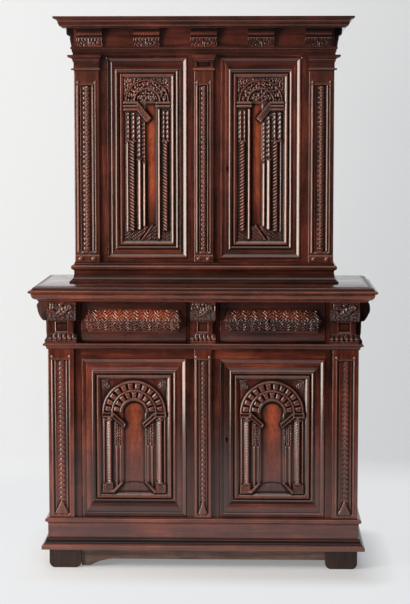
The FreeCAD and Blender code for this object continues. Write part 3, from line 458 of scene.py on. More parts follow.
class Relief:
    """Heights over a grid, worked by laying one form after another into them."""

    # Rise of a shaft's full flank, and half a voussoir block's width, as shares of radius and pitch
    FULL_FLANK, BLOCK_HALF = 0.8, 0.38
    # Slant of a rope's grooves, their width as a share of the pitch and their depth as a share of the rise
    TWIST, GROOVE_WIDTH, GROOVE_DEPTH = 0.55, 0.2, 0.55
    # Width of a block's bevels and their fall for each millimetre
    BEVEL, BEVEL_FALL = 5.0, 0.55

    def __init__(self, u: Array, v: Array, ground: float = 0.0) -> None:
        """Start from flat ground over u across and v up, given as two lines or as a worked-out grid."""
        self.u, self.v = np.meshgrid(u, v) if u.ndim == 1 else (u, v)
        self.lean = 1
        self.height = np.full(self.u.shape, float(ground))

    def lay(self, inside: Array, form: Array | float, soft: float = 1.5) -> None:
        """Blend a form in where the distance inside its outline is positive.

        Args:
            inside: distance inside the outline.
            form: the height there.
            soft: width of the step at the outline.
        """
        share = eased(inside, -soft / 2, soft / 2)
        self.height = self.height + (form - self.height) * share

    def shaft(self, centre: float, radius: float, span: Corner, base: float,
              rise: Array | float) -> tuple[Array, Array]:
        """Return the distance inside a shaft and its height, with its broad flank where lean puts it."""
        offset = self.u - centre
        inside = np.minimum(radius - np.abs(offset), np.minimum(self.v - span[0], span[1] - self.v))
        full = self.FULL_FLANK * radius
        low = np.minimum(rise / full, 1.0)
        return inside, base + np.maximum(rise - full, 0) + low * flank(self.lean * offset, radius)

    def column(self, centre: float, radius: float, span: Corner, base: float, rise: Array | float) -> None:
        """Lay a plain shaft."""
        self.lay(*self.shaft(centre, radius, span, base, rise))

    def rope(self, centre: float, radius: float, span: Corner, base: float, rise: float,
             pitch: float) -> None:
        """Lay a shaft of twisted strands: slanting grooves cut it a pitch apart."""
        inside, form = self.shaft(centre, radius, span, base, rise)
        turn = self.v / pitch + self.TWIST * (self.u - centre) / radius
        groove = np.exp(-((turn - np.round(turn)) / self.GROOVE_WIDTH) ** 2)
        self.lay(inside, form - self.GROOVE_DEPTH * rise * groove)

    def husks(self, centre: float, radius: float, span: Corner, base: float, rise: float,
              pitch: float) -> None:
        """Lay a drop of overlapping husks: each swells towards its tip and hides the next one's root."""
        inside, form = self.shaft(centre, radius, span, base, rise)
        offset = (self.u - centre) / radius
        place = self.v / pitch - 0.42 * np.clip(1 - np.abs(offset), 0, 1) ** 1.4
        share = place - np.floor(place)
        root, vein = np.exp(-(share / 0.14) ** 2), np.exp(-((np.abs(offset) - 0.5) / 0.12) ** 2)
        self.lay(inside, np.maximum(form - (0.3 * (1 - share) + 0.5 * root + 0.2 * vein) * rise, base))

    def leaf(self, base: Corner, tip: Corner, width: float, floor: float, rise: float, lobes: int) -> None:
        """Lay a pointed leaf: its sides swell and are scalloped, its midrib is sunk, its veins slant.

        Args:
            base: foot of the leaf.
            tip: its point.
            width: its widest.
            floor: height of its edge.
            rise: height of its middle over the edge.
            lobes: scallops along each side.
        """
        axis = np.array(tip, float) - np.array(base, float)
        length = np.hypot(*axis)
        axis /= length
        du, dv = self.u - base[0], self.v - base[1]
        along = (du * axis[0] + dv * axis[1]) / length
        aside = dv * axis[0] - du * axis[1]
        share = np.clip(along, 0, 1)
        scallop = 1 - 0.2 * np.abs(np.cos(math.pi * lobes * share))
        half = width / 2 * np.sin(math.pi * share ** 0.72) * scallop + 1e-6
        inside = np.minimum(half - np.abs(aside), np.minimum(along, 1 - along) * length)
        offset = np.clip(np.abs(aside) / half, 0, 1)
        vein = 0.22 * np.cos(2 * math.pi * (lobes * share - 0.7 * offset))
        rib = -0.55 * np.exp(-(aside / (0.07 * width + 0.6)) ** 2)
        self.lay(inside, floor + rise * (np.sqrt(1 - offset ** 2) * (0.85 + vein) + rib), 1.4)

    def foliage(self, inside: Array, aside: Array, along: Array, pitch: float, floor: float, rise: float,
                stem: float = 0.45) -> None:
        """Lay dense leafage: rounded lobes that slant away on both sides of sunk stems.

        Args:
            inside: distance inside the carved place.
            aside: signed distance from the nearest stem.
            along: distance along the stem.
            pitch: spacing of the lobes along the stem.
            floor: height of the cuts between the lobes.
            rise: height of the lobes over them.
            stem: depth of the stems as a share of the rise.
        """
        lobe = np.abs(np.sin(math.pi * (along - 0.85 * np.abs(aside)) / pitch)) ** 0.8
        curl = 0.8 + 0.2 * np.cos(2 * math.pi * (np.abs(aside) + 0.4 * along) / (1.9 * pitch))
        self.lay(inside, floor + rise * (lobe * curl - stem * np.exp(-(aside / 1.5) ** 2)))

    def clusters(self, inside: Array, pitch: float, floor: float, rise: float, seed: int) -> None:
        """Lay dense small leaves: an oval lobe in each cell of a grid, shifted and turned at random.

        Args:
            inside: distance inside the carved place.
            pitch: size of a cell.
            floor: height of the cuts between the lobes.
            rise: height of the lobes over them.
            seed: start of the random draws.
        """
        u, v = self.u / pitch, self.v / pitch
        column, row = np.floor(u).astype(int), np.floor(v).astype(int)
        left, low = column.min() - 1, row.min() - 1
        shape = (row.max() - low + 2, column.max() - left + 2)
        shift_u, shift_v, turn, size = np.random.default_rng(seed).random((4, *shape))
        top = np.zeros(u.shape)
        for step_v, step_u in np.ndindex(3, 3):
            cell = (row + step_v - 1 - low, column + step_u - 1 - left)
            du = u - (column + step_u - 0.9 + 0.8 * shift_u[cell])
            dv = v - (row + step_v - 0.9 + 0.8 * shift_v[cell])
            cos, sin = np.cos(math.pi * turn[cell]), np.sin(math.pi * turn[cell])
            along, aside = du * cos + dv * sin, dv * cos - du * sin
            depth = np.clip(1 - np.hypot(along / 0.8, aside / 0.48), 0, 1)
            top = np.maximum(top, (0.45 * eased(depth, 0, 0.2) + 0.55 * depth) * (0.65 + 0.35 * size[cell]))
        self.lay(inside, floor + rise * top)

    def bead(self, line: Sequence[Corner], radius: float, base: float, rise: float) -> None:
        """Lay a low roof along a bent line, or a groove where the rise is negative."""
        distance = np.full(self.u.shape, np.inf)
        for here, there in zip(line, line[1:]):
            way = np.subtract(there, here)
            du, dv = self.u - here[0], self.v - here[1]
            share = np.clip((du * way[0] + dv * way[1]) / (way @ way), 0, 1)
            distance = np.minimum(distance, np.hypot(du - share * way[0], dv - share * way[1]))
        self.lay(radius - distance, base + rise - 0.5 * radius + ridge(distance, radius), 1.2)

    def half_ring(self, centre: Corner, radii: Corner) -> tuple[Array, Array, Array]:
        """Return radius and angle round a centre, and the distance inside half a ring over it."""
        du, dv = self.u - centre[0], self.v - centre[1]
        radius = np.hypot(du, dv)
        return radius, np.arctan2(dv, du), np.minimum(np.minimum(radius - radii[0], radii[1] - radius), dv)

    def blocks(self, centre: Corner, radii: Corner, count: int, floor: float, rise: float) -> None:
        """Lay half a ring of voussoir blocks with broad bevels, each face tilted a little its own way."""
        radius, angle, inside = self.half_ring(centre, radii)
        self.lay(inside, floor)
        cell = angle * count / math.pi
        place, pitch = np.floor(cell), math.pi * radius / count
        aside = (cell - place - 0.5) * pitch
        middle = centre[0] + sum(radii) / 2 * np.cos((place + 0.5) * math.pi / count)
        tilt = (0.05 + 0.1 * np.sin(7.0 * place)) * self.lean * (self.u - middle)
        block = np.minimum(self.BLOCK_HALF * pitch - np.abs(aside), inside - 0.5)
        self.lay(block, floor + rise + tilt - self.BEVEL_FALL * np.clip(self.BEVEL - block, 0, None))

    def arc(self, centre: Corner, radii: Corner, base: float, rise: float) -> None:
        """Lay a low roof over half a ring."""
        radius, _, inside = self.half_ring(centre, radii)
        half = (radii[1] - radii[0]) / 2
        self.lay(inside, base + max(rise - 0.5 * half, 0) + ridge(radius - sum(radii) / 2, half), 1.2)

    def band(self, corners: Sequence[Corner], base: float, rise: float, fillet: float) -> None:
        """Lay a flat band whose edges stand up as fillets round a sunk middle."""
        inside = in_shape(self.u, self.v, corners)
        self.lay(inside, base + rise * (1 - 0.75 * eased(inside, fillet, fillet + 2)))

    def grime(self, spacing: float, reach: float = 7.0, scale: float = 3.0) -> Array:
        """Return the grime and painted shade that the carving's own hollows hold, for points so far apart."""
        count = max(1, int(reach / spacing))
        return hollows(self.height, (count, count), scale)


@dataclass(frozen=True)
class Patch:
    """A flat place that carries carving: a corner, and the ways across, up and outward."""

    corner: tuple[float, float, float]
    across: Way = RIGHT
    up: Way = UP
    outward: Way = FORWARD

    def at(self, u: Array, v: Array, w: Array) -> Array:
        """Return the points so far across, up and outward from the corner."""
        axes = zip((u, v, w), (self.across, self.up, self.outward))
        return np.array(self.corner) + sum(values[..., None] * np.array(axis) for values, axis in axes)

    @staticmethod
    def on_side(side: int, x: float, y: float, z: float) -> "Patch":
        """Return a patch on a side face, across it from the viewer's left; side is -1 or 1."""
        return Patch((side * x, y, z), (0.0, float(side), 0.0), UP, (float(side), 0.0, 0.0))


def slab(name: str, patch: Patch, relief: Relief, back: float, grain: Grain, grime: Array,
         warm: Array | None = None) -> Surface:
    """Close a relief into a slab: its rim drops to a plane behind it, which a fan of faces closes.

    Args:
        name: the board's name.
        patch: where the relief's zero lies.
        relief: the heights.
        back: distance of the back plane behind the patch.
        grain: the way of the fibres.
        grime: a value for each point of the relief.
        warm: how much of the orange of bared wood and painted light shows at each point, or nothing.

    Returns:
        The closed shell.
    """
    rows, columns = relief.height.shape
    index = np.arange(rows * columns).reshape(rows, columns)
    rim = np.concatenate([index[0, :-1], index[:-1, -1], index[-1, :0:-1], index[:0:-1, 0]])
    front = patch.at(relief.u.ravel(), relief.v.ravel(), relief.height.ravel())
    deep = np.full(len(rim), -back)
    behind = patch.at(relief.u.ravel()[rim], relief.v.ravel()[rim], deep)
    hub = behind.mean(axis=0, keepdims=True)
    ring = len(front) + np.arange(len(rim))
    ahead, rim_ahead = np.roll(ring, -1), np.roll(rim, -1)
    sides = np.stack([rim_ahead, rim, ring, ahead], axis=1)
    fan = np.stack([ahead, ring, np.full(len(rim), len(front) + len(rim))], axis=1)
    plain = np.zeros(len(rim) + 1)
    values = np.concatenate([grime.ravel(), plain])
    bare_and_lit = None if warm is None else np.concatenate([warm.ravel(), plain])
    points, quads = np.concatenate([front, behind, hub]), np.concatenate([grid_quads(rows, columns), sides])
    return shell(name, points, quads, fan, [], values, grain, bare_and_lit)


def carved_block(name: str, patch: Patch, width: float, face: Array, carving: Callable[[Array, Array], Array],
                 step: float, grain: Grain, narrowing: Callable[[Array], Array] | None = None,
                 soot_and_shade: Array | float = 0.15) -> Surface:
    """Carry a profile across a width and push its face out and in along its normals.

    Args:
        name: the block's name.
        patch: its lower left corner on the wall it is planted on.
        width: its width.
        face: the profile from the wall at the foot to the wall at the top, as (outward, up) rows.
        carving: gives the push for the distance across and the distance along the profile.
        step: spacing of the grid.
        grain: the way of the fibres.
        narrowing: gives the share of the full width for the height, where it isn't the same all over.
        soot_and_shade: grime and painted shade all over the block, or for each point of its evened profile.

    Returns:
        The closed shell.
    """
    line = evened(face, step)
    tangent = np.gradient(line, axis=0)
    normal = np.stack([tangent[:, 1], -tangent[:, 0]], axis=1)
    normal /= np.maximum(np.hypot(*normal.T), 1e-9)[:, None]
    lengths = np.concatenate([[0], np.cumsum(np.hypot(*np.diff(line, axis=0).T))])
    stations = np.linspace(0, width, max(4, int(width / step)))
    across, along = np.meshgrid(stations, lengths, indexing="ij")
    fade = eased(along, 0, 4) * eased(lengths[-1] - along, 0, 4)
    push = carving(across, along) * fade
    out = np.maximum(line[None, :, 0] + push * normal[None, :, 0], 0)
    rise = line[None, :, 1] + push * normal[None, :, 1]
    count = max(1, int(6 / step))
    grime = hollows(push, (count, count), 2.2) + 0.8 * profile_grime_and_shade(line)[None] + soot_and_shade
    if narrowing is not None:
        across = width / 2 + (across - width / 2) * narrowing(rise)
    return loft(name, patch.at(across, rise, out), grain, np.clip(grime, -1, 1))


# Finishes

def linear(code: str) -> tuple[float, float, float, float]:
    """Turn an sRGB hex colour such as #5A2D26 into linear values with full alpha."""
    parts = [int(code[place:place + 2], 16) / 255 for place in (1, 3, 5)]
    levels = [part / 12.92 if part <= 0.04045 else ((part + 0.055) / 1.055) ** 2.4 for part in parts]
    return *levels, 1.0


def emptied(owner: bpy.types.Material | bpy.types.World) -> bpy.types.NodeTree:
    """Return the emptied tree of a new material or world."""
    owner.use_nodes = True
    owner.node_tree.nodes.clear()
    return owner.node_tree


def add_node(tree: bpy.types.NodeTree, kind: str, settings: dict | None = None,
             stops: Sequence[tuple[float, str]] = ()) -> bpy.types.Node:
    """Add one node to a tree.

    Args:
        tree: the tree of a material or of the world.
        kind: the node's type, without the word ShaderNode.
        settings: its properties and its inputs; a socket is linked and a constant is set.
        stops: the places and hex colours of its ramp, if it has one.

    Returns:
        The new node.
    """
    node = tree.nodes.new("ShaderNode" + kind)
    for key, value in (settings or {}).items():
        if isinstance(value, Socket):
            tree.links.new(value, node.inputs[key])
        elif isinstance(key, int) or (not hasattr(node, key) and key in node.inputs):
            node.inputs[key].default_value = value
        else:
            setattr(node, key, value)
    if stops:
        elements = node.color_ramp.elements
        while len(elements) < len(stops):
            elements.new(0.5)
        for element, (place, code) in zip(elements, stops):
            element.position, element.color = place, linear(code)
    return node


@dataclass(frozen=True)
class Wood:
    """Wood planed and carved by hand: streaks of colour along the fibres, pores, grime and wear.
    Grime in the hollows paints shade there too, and wear on the ridges paints highlights.

    Scales are the size of one feature across the grain, in millimetres.
    """

    name: str
    shades: tuple[tuple[float, str], ...]
    hollow: str
    worn_and_highlit: str
    bare_and_lit: str
    streak: float = 14.0
    figure: float = 110.0
    figure_share: float = 0.45
    pore: float = 2.6
    pits: tuple[float, float] = (0.3, 0.46)
    pit_depth: float = 0.5
    patina: float = 120.0
    cloud: float = 0.42
    stretch: float = 0.06
    own_place: tuple[float, float, float] = (3.1, 1.7, 2.3)
    own_shade: float = 0.07
    roughness: tuple[float, float] = (0.24, 0.44)
    sheen: float = 0.1
    coat: float = 0.35
    coat_roughness: float = 0.16
    coat_ior: float = 1.5
    bump: float = 0.22
    bump_height: float = 0.6
    dust: str = "#7A5A58"
    dust_share: float = 0.2
    dust_levels: tuple[float, float] = (60.0, 620.0)
    # Grime darkens the hollows and paints shade there as well
    grime_and_shade_range: tuple[float, float] = (0.02, 0.6)
    grime_and_shade_share: float = 0.96
    grime_matt: float = 0.25
    # Wear lightens the ridges towards the worn colour, which paints highlights there as well
    rubbed_and_highlit: tuple[float, float] = (-0.15, -0.9)
    rub_and_highlight_share: float = 0.55
    waxless: tuple[float, float] = (0.15, 0.6)
    wax_left: float = 0.25

    def made(self, grain: Grain | None = None) -> bpy.types.Material:
        """Build the material.

        Args:
            grain: the way of the fibres on a CAD node, or nothing to read each point's own.

        Returns:
            The material.
        """
        label = self.name if grain is None else f"{self.name}_{grain.name.lower()}"
        material = bpy.data.materials.new(label)
        add = partial(add_node, emptied(material))
        place = add("TexCoord").outputs["Object"]
        level = add("SeparateXYZ", {0: place}).outputs["Z"]
        tone, grime, warm = [add("Attribute", {"attribute_name": name}).outputs["Fac"]
                             for name in ("tone", "grime", "warm")]
        if grain is None:
            way = add("Attribute", {"attribute_name": "grain"}).outputs["Vector"]
        else:
            way = add("CombineXYZ", dict(enumerate(grain.value))).outputs[0]

        # The place in the wood: drawn out along the fibres, and moved by each board's own tone
        along = add("VectorMath", {"operation": "DOT_PRODUCT", 0: place, 1: way}).outputs["Value"]
        squeeze = add("Math", {"operation": "MULTIPLY", 0: along, 1: self.stretch - 1}).outputs[0]
        board = place
        for vector, share in ((way, squeeze), (self.own_place, tone)):
            shift = add("VectorMath", {"operation": "SCALE", 0: vector, "Scale": share}).outputs[0]
            board = add("VectorMath", {"operation": "ADD", 0: board, 1: shift}).outputs[0]
        streak, figure, pore, patina = [
            add("TexNoise", {"Scale": 1000.0 / size, "Detail": detail, "Roughness": 0.6,
                             "Vector": source}).outputs["Fac"]
            for size, detail, source in ((self.streak, 5, board), (self.figure, 3, board),
                                         (self.pore, 2, board), (self.patina, 5, place))]

        # Shares of each effect: what it follows, the range that counts there and what comes of it
        lift, pits, dust, dirt_and_shade, rub_and_highlight, wax, gloss = [
            add("MapRange", {"Value": value, "From Min": source[0], "From Max": source[1],
                             "To Min": result[0], "To Max": result[1]}).outputs[0]
            for value, source, result in (
                (patina, (0.3, 0.62), (0.5, 1.0)),
                (pore, self.pits, (self.pit_depth, 0.0)),
                (level, [height * MM for height in self.dust_levels], (self.dust_share, 0.0)),
                (grime, self.grime_and_shade_range, (0.0, self.grime_and_shade_share)),
                (grime, self.rubbed_and_highlit, (0.0, self.rub_and_highlight_share)),
                (grime, self.waxless, (self.coat, self.wax_left * self.coat)),
                (patina, (0.3, 0.7), self.roughness))]
        bared_and_lit = add("Math", {"operation": "MULTIPLY", "use_clamp": True, 0: warm, 1: lift}).outputs[0]

        # Colour: the streaks and the figure, each board's own shade, clouds, and then the effects
        # Bared wood carries painted light, grime painted shade, and wear painted highlights
        shade = add("Mix", {"data_type": "FLOAT", 0: self.figure_share, 2: streak, 3: figure}).outputs[0]
        cloud = add("Math", {"operation": "MULTIPLY_ADD", 0: patina, 1: self.cloud, 2: -self.cloud / 2})
        shade = add("Math", {"operation": "MULTIPLY_ADD", 0: tone, 1: self.own_shade, 2: shade}).outputs[0]
        shade = add("Math", {"operation": "ADD", 0: shade, 1: cloud.outputs[0]}).outputs[0]
        colour = add("ValToRGB", {0: shade}, self.shades).outputs[0]
        for share, code in ((bared_and_lit, self.bare_and_lit), (pits, self.hollow), (dust, self.dust), (dirt_and_shade, self.hollow),
                            (rub_and_highlight, self.worn_and_highlit)):
            colour = add("Mix", {"data_type": "RGBA", 0: share, 6: colour, 7: linear(code)}).outputs[2]
        matt = add("Math", {"operation": "MULTIPLY_ADD", "use_clamp": True, 0: dirt_and_shade, 1: self.grime_matt,
                            2: gloss}).outputs[0]
        relief = add("Math", {"operation": "MULTIPLY_ADD", 0: streak, 1: 0.5, 2: pore}).outputs[0]
        bump = add("Bump", {"Strength": self.bump, "Distance": self.bump_height * MM, "Height": relief})
        shader = add("BsdfPrincipled", {
            "IOR": 1.5, "Specular IOR Level": self.sheen, "Base Color": colour, "Roughness": matt,
            "Coat Weight": wax, "Coat Roughness": self.coat_roughness, "Coat IOR": self.coat_ior,
            "Normal": bump.outputs[0]})
        add("OutputMaterial", {"Surface": shader.outputs[0]})
        return material


@dataclass(frozen=True)
class Iron:
    """Forged iron left dark from the fire: mottled scale, bright where it rubs."""

    name: str = "forged_iron"
    scale_colour: str = "#2B2725"
    bright_colour: str = "#5B5550"
    mottle: float = 6.25
    roughness: tuple[float, float] = (0.62, 0.36)
    bump: float = 0.3
    bump_height: float = 0.4

    def made(self) -> bpy.types.Material:
        """Build and return the material."""
        material = bpy.data.materials.new(self.name)
        add = partial(add_node, emptied(material))
        place = add("TexCoord").outputs["Object"]
        mottle = add("TexNoise", {"Scale": 1000.0 / self.mottle, "Detail": 5, "Vector": place}).outputs["Fac"]
        colour = add("ValToRGB", {0: mottle}, ((0.35, self.scale_colour), (0.7, self.bright_colour)))
        gloss = add("MapRange", {"Value": mottle, "To Min": self.roughness[0], "To Max": self.roughness[1]})
        bump = add("Bump", {"Strength": self.bump, "Distance": self.bump_height * MM, "Height": mottle})
        shader = add("BsdfPrincipled", {"Metallic": 1.0, "Base Color": colour.outputs[0],
                                        "Roughness": gloss.outputs[0], "Normal": bump.outputs[0]})
        add("OutputMaterial", {"Surface": shader.outputs[0]})
        return material


# Waxed walnut, planed and carved, dark from age: reddish brown streaks under a gloss, black in the cuts
# Its cuts are black from grime and from painted shade
WALNUT = Wood("waxed_walnut", ((0.2, "#140A07"), (0.4, "#341811"), (0.55, "#55271D"), (0.75, "#88442F")),
              hollow="#0B0605", worn_and_highlit="#744636", bare_and_lit="#AC5434", roughness=(0.2, 0.34), coat=0.9,
              coat_roughness=0.13, coat_ior=1.55)
# The same walnut on the sides, where it was oiled and seldom rubbed
SIDE_WALNUT = replace(WALNUT, name="side_walnut", roughness=(0.3, 0.45), coat=0.4, coat_roughness=0.22)
# The same walnut in darker shades on the lower posts beside the doors: painted shade on the strips between
# pilasters and doors
SHADED_POST_WALNUT = replace(WALNUT, name="post_walnut", coat=0.6,
                      shades=((0.2, "#100805"), (0.4, "#28120D"), (0.55, "#441F17"), (0.75, "#703726")))
# The same walnut near the floor, in darker and greyer shades
FLOOR_WALNUT = replace(WALNUT, name="floor_walnut", worn_and_highlit="#5A4038", roughness=(0.34, 0.5), coat=0.4,
                       dust_share=0.0,
                       shades=((0.2, "#0E0807"), (0.4, "#221512"), (0.55, "#35231E"), (0.75, "#503730")))
# The apron, in paler shades
APRON_WALNUT = replace(FLOOR_WALNUT, name="apron_walnut",
                       shades=((0.2, "#2A1E1A"), (0.4, "#4A3832"), (0.55, "#665048"), (0.75, "#84695E")))
# Oiled oak inside and behind: plain sawn boards, dull and brown from age
INNER = Wood("oiled_oak", ((0.3, "#3F2D20"), (0.5, "#5B4432"), (0.7, "#755B45")), hollow="#241810",
             worn_and_highlit="#826A50", bare_and_lit="#826A50", roughness=(0.55, 0.75), coat=0.0, bump=0.3, dust_share=0.0)


# Stages, boards and mouldings

@dataclass(frozen=True)
class Stage:
    """The planes and levels of one stage."""

    name: str
    half: float
    front: float
    face: float
    door: tuple[float, float]
    door_inner: float
    door_outer: float
    stile: float
    foot_rail: float
    head_rail: float
    lock: float

    def opening(self, side: int) -> tuple[tuple[float, float], tuple[float, float]]:
        """Return the limits of a door's panel opening across and up; side is -1 or 1."""
        near, far = self.door_inner + self.stile, self.door_outer - self.stile
        across = (near, far) if side > 0 else (-far, -near)
        return across, (self.door[0] + self.foot_rail, self.door[1] - self.head_rail)


BACK = 270.0
PLINTH_LEVEL, BODY_LEVEL, WAIST_BEAD, DRAWER_LEVEL = 72.0, 160.0, 822.0, 845.0
WAIST_LEVEL, UPPER_LEVEL, CAPITAL_LEVEL = 1000.0, 1057.0, 1844.0
ARCHITRAVE_LEVEL, FRIEZE_LEVEL, CORNICE_LEVEL = 1902.0, 1932.0, 1999.0
WAIST_HALF, WAIST_FRONT = 598.5, -230.0
LOWER = Stage("lower", 573.5, -193.0, -205.0, (192.0, 784.0), 62.0, 450.0, 50.0, 64.0, 56.0, 486.0)
UPPER = Stage("upper", 481.0, -83.0, -95.0, (1150.0, 1894.0), 62.0, 360.0, 44.0, 45.0, 56.0, 1487.0)
SIDES = {-1: "left", 1: "right"}


@dataclass(frozen=True)
class Moulding:
    """A moulding round the front and both sides of a stage, from its profile's corners."""

    node: str
    half: float
    front: float
    level: float
    corners: tuple[Corner, ...]
    setback: float = 0.0
    soot_and_shade: SootAndShade = CLEAN

    def made(self, finish: bpy.types.Material) -> None:
        """Build the three mitred lengths as one piece."""
        face = traced(self.corners)
        start, end = [(x, self.front, self.level) for x in (-self.half, self.half)]
        runs = [mitred_run(self.node + "_front", face, start, RIGHT, FORWARD, UP, self.half * 2, (1, 1),
                           Grain.LEVEL, self.setback, self.soot_and_shade)]
        for word, corner, outward in (("left", start, LEFT), ("right", end, RIGHT)):
            runs.append(mitred_run(f"{self.node}_{word}", face, corner, BACKWARD, outward, UP,
                                   BACK - self.front, (1, 0), Grain.DEEP, 0.0, self.soot_and_shade))
        plant("walnut_" + self.node, Surface.joined(runs), finish, Crease.MOULDED, "carcass", self.node)


MOULDINGS = (
    # The plinth base moulding has painted shade on top and the worn colour below, a painted highlight; the waist
    # top moulding has painted shade on its upper slope
    Moulding("plinth_base_moulding", 577.5, -209.0, PLINTH_LEVEL,
             ((23, 0), (23, 12, 90), (18, 17), (17, 17), (17, 20, -75), (7, 38), (5, 38), (5, 44)), 0.0,
             (-0.4, 0.5, 0.42)),
    Moulding("plinth_cap_moulding", LOWER.half, LOWER.face, BODY_LEVEL,
             ((4, 0), (4, 5, -80), (12, 15), (14, 15), (14, 22, 95), (8, 28), (6, 28), (6, 30)), 12.0),
    Moulding("waist_moulding", LOWER.half, LOWER.face, WAIST_BEAD,
             ((5, 0), (5, 4, -80), (14, 13), (17, 13), (17, 17, 90), (12, 22), (10, 22), (10, 23)), 12.0),
    Moulding("waist_top_moulding", WAIST_HALF, WAIST_FRONT, WAIST_LEVEL,
             ((6, 0), (6, 4), (10, 4), (10, 8), (12, 8, 80), (30, 28), (30, 31), (36, 31), (36, 34), (40, 34),
              (40, 39, 80), (37, 42), (33, 42), (33, 44), (30, 44, -60), (24, 52), (22, 54), (6, 57)), 0.0,
             (-0.1, 0.5, 0.76)),
    Moulding("upper_base_moulding", UPPER.half, UPPER.face, UPPER_LEVEL,
             ((20, 0), (20, 9, -80), (5, 30), (4, 30), (4, 48), (7, 48), (7, 50, 165), (7, 68), (4, 68),
              (4, 74), (2, 74), (2, 78)), 12.0, (0.36, 0.36, 0.5)),
    Moulding("architrave", UPPER.half, UPPER.face, ARCHITRAVE_LEVEL,
             ((4, 0), (4, 10), (7, 10), (7, 20), (9, 20, 90), (11, 26), (11, 30)), 12.0),
    Moulding("cornice", 456.0, -70.0, CORNICE_LEVEL,
             ((65, 0), (65, 4), (67, 4, 80), (76, 15), (78, 15), (78, 18, -70), (89, 31), (91, 31), (91, 33),
              (95, 33), (95, 41))),
)


def boards(finish: bpy.types.Material) -> None:
    """Build the drawer fronts and the waist board as planks with worn arrises."""
    gap, thickness = 2.0, 22.0
    for side, word in SIDES.items():
        near, far = sorted((side * LOWER.door_inner, side * LOWER.door_outer))
        name = word + "_drawer_front"
        # The drawer fronts are a little darker all over: painted shade under the waist and round the cushions
        front = plank(name, (near, LOWER.front, DRAWER_LEVEL + gap),
                      (far, LOWER.front + thickness, WAIST_LEVEL - gap), Grain.LEVEL, 1.6, 0.1)
        plant("walnut_" + name, front, finish, Crease.PLANED, word + "_drawer", name)
    name = "waist_top_board"
    board = plank(name, (-WAIST_HALF, WAIST_FRONT, WAIST_LEVEL), (WAIST_HALF, BACK, UPPER_LEVEL), Grain.LEVEL,
                  1.0)
    plant("walnut_" + name, board, finish, Crease.PLANED, "carcass", name)


def back_boards() -> None:
    """Plant three upright boards behind each stage, with worn arrises that show their joints."""
    parts, thickness, inset = [], 14.0, 40.0
    for stage, low, high in ((LOWER, BODY_LEVEL, WAIST_LEVEL), (UPPER, UPPER_LEVEL, ARCHITRAVE_LEVEL)):
        reach = stage.half - inset
        edges = np.linspace(-reach, reach, 4)
        for index, (left, right) in enumerate(zip(edges, edges[1:])):
            parts.append(plank(f"{stage.name}_back_{index}", (left, BACK - thickness, low),
                               (right, BACK, high), Grain.UPRIGHT, 2.4, 0.0))
    plant("oak_back_boards", Surface.joined(parts), INNER.made(), Crease.PLANED, "carcass", "back_boards")


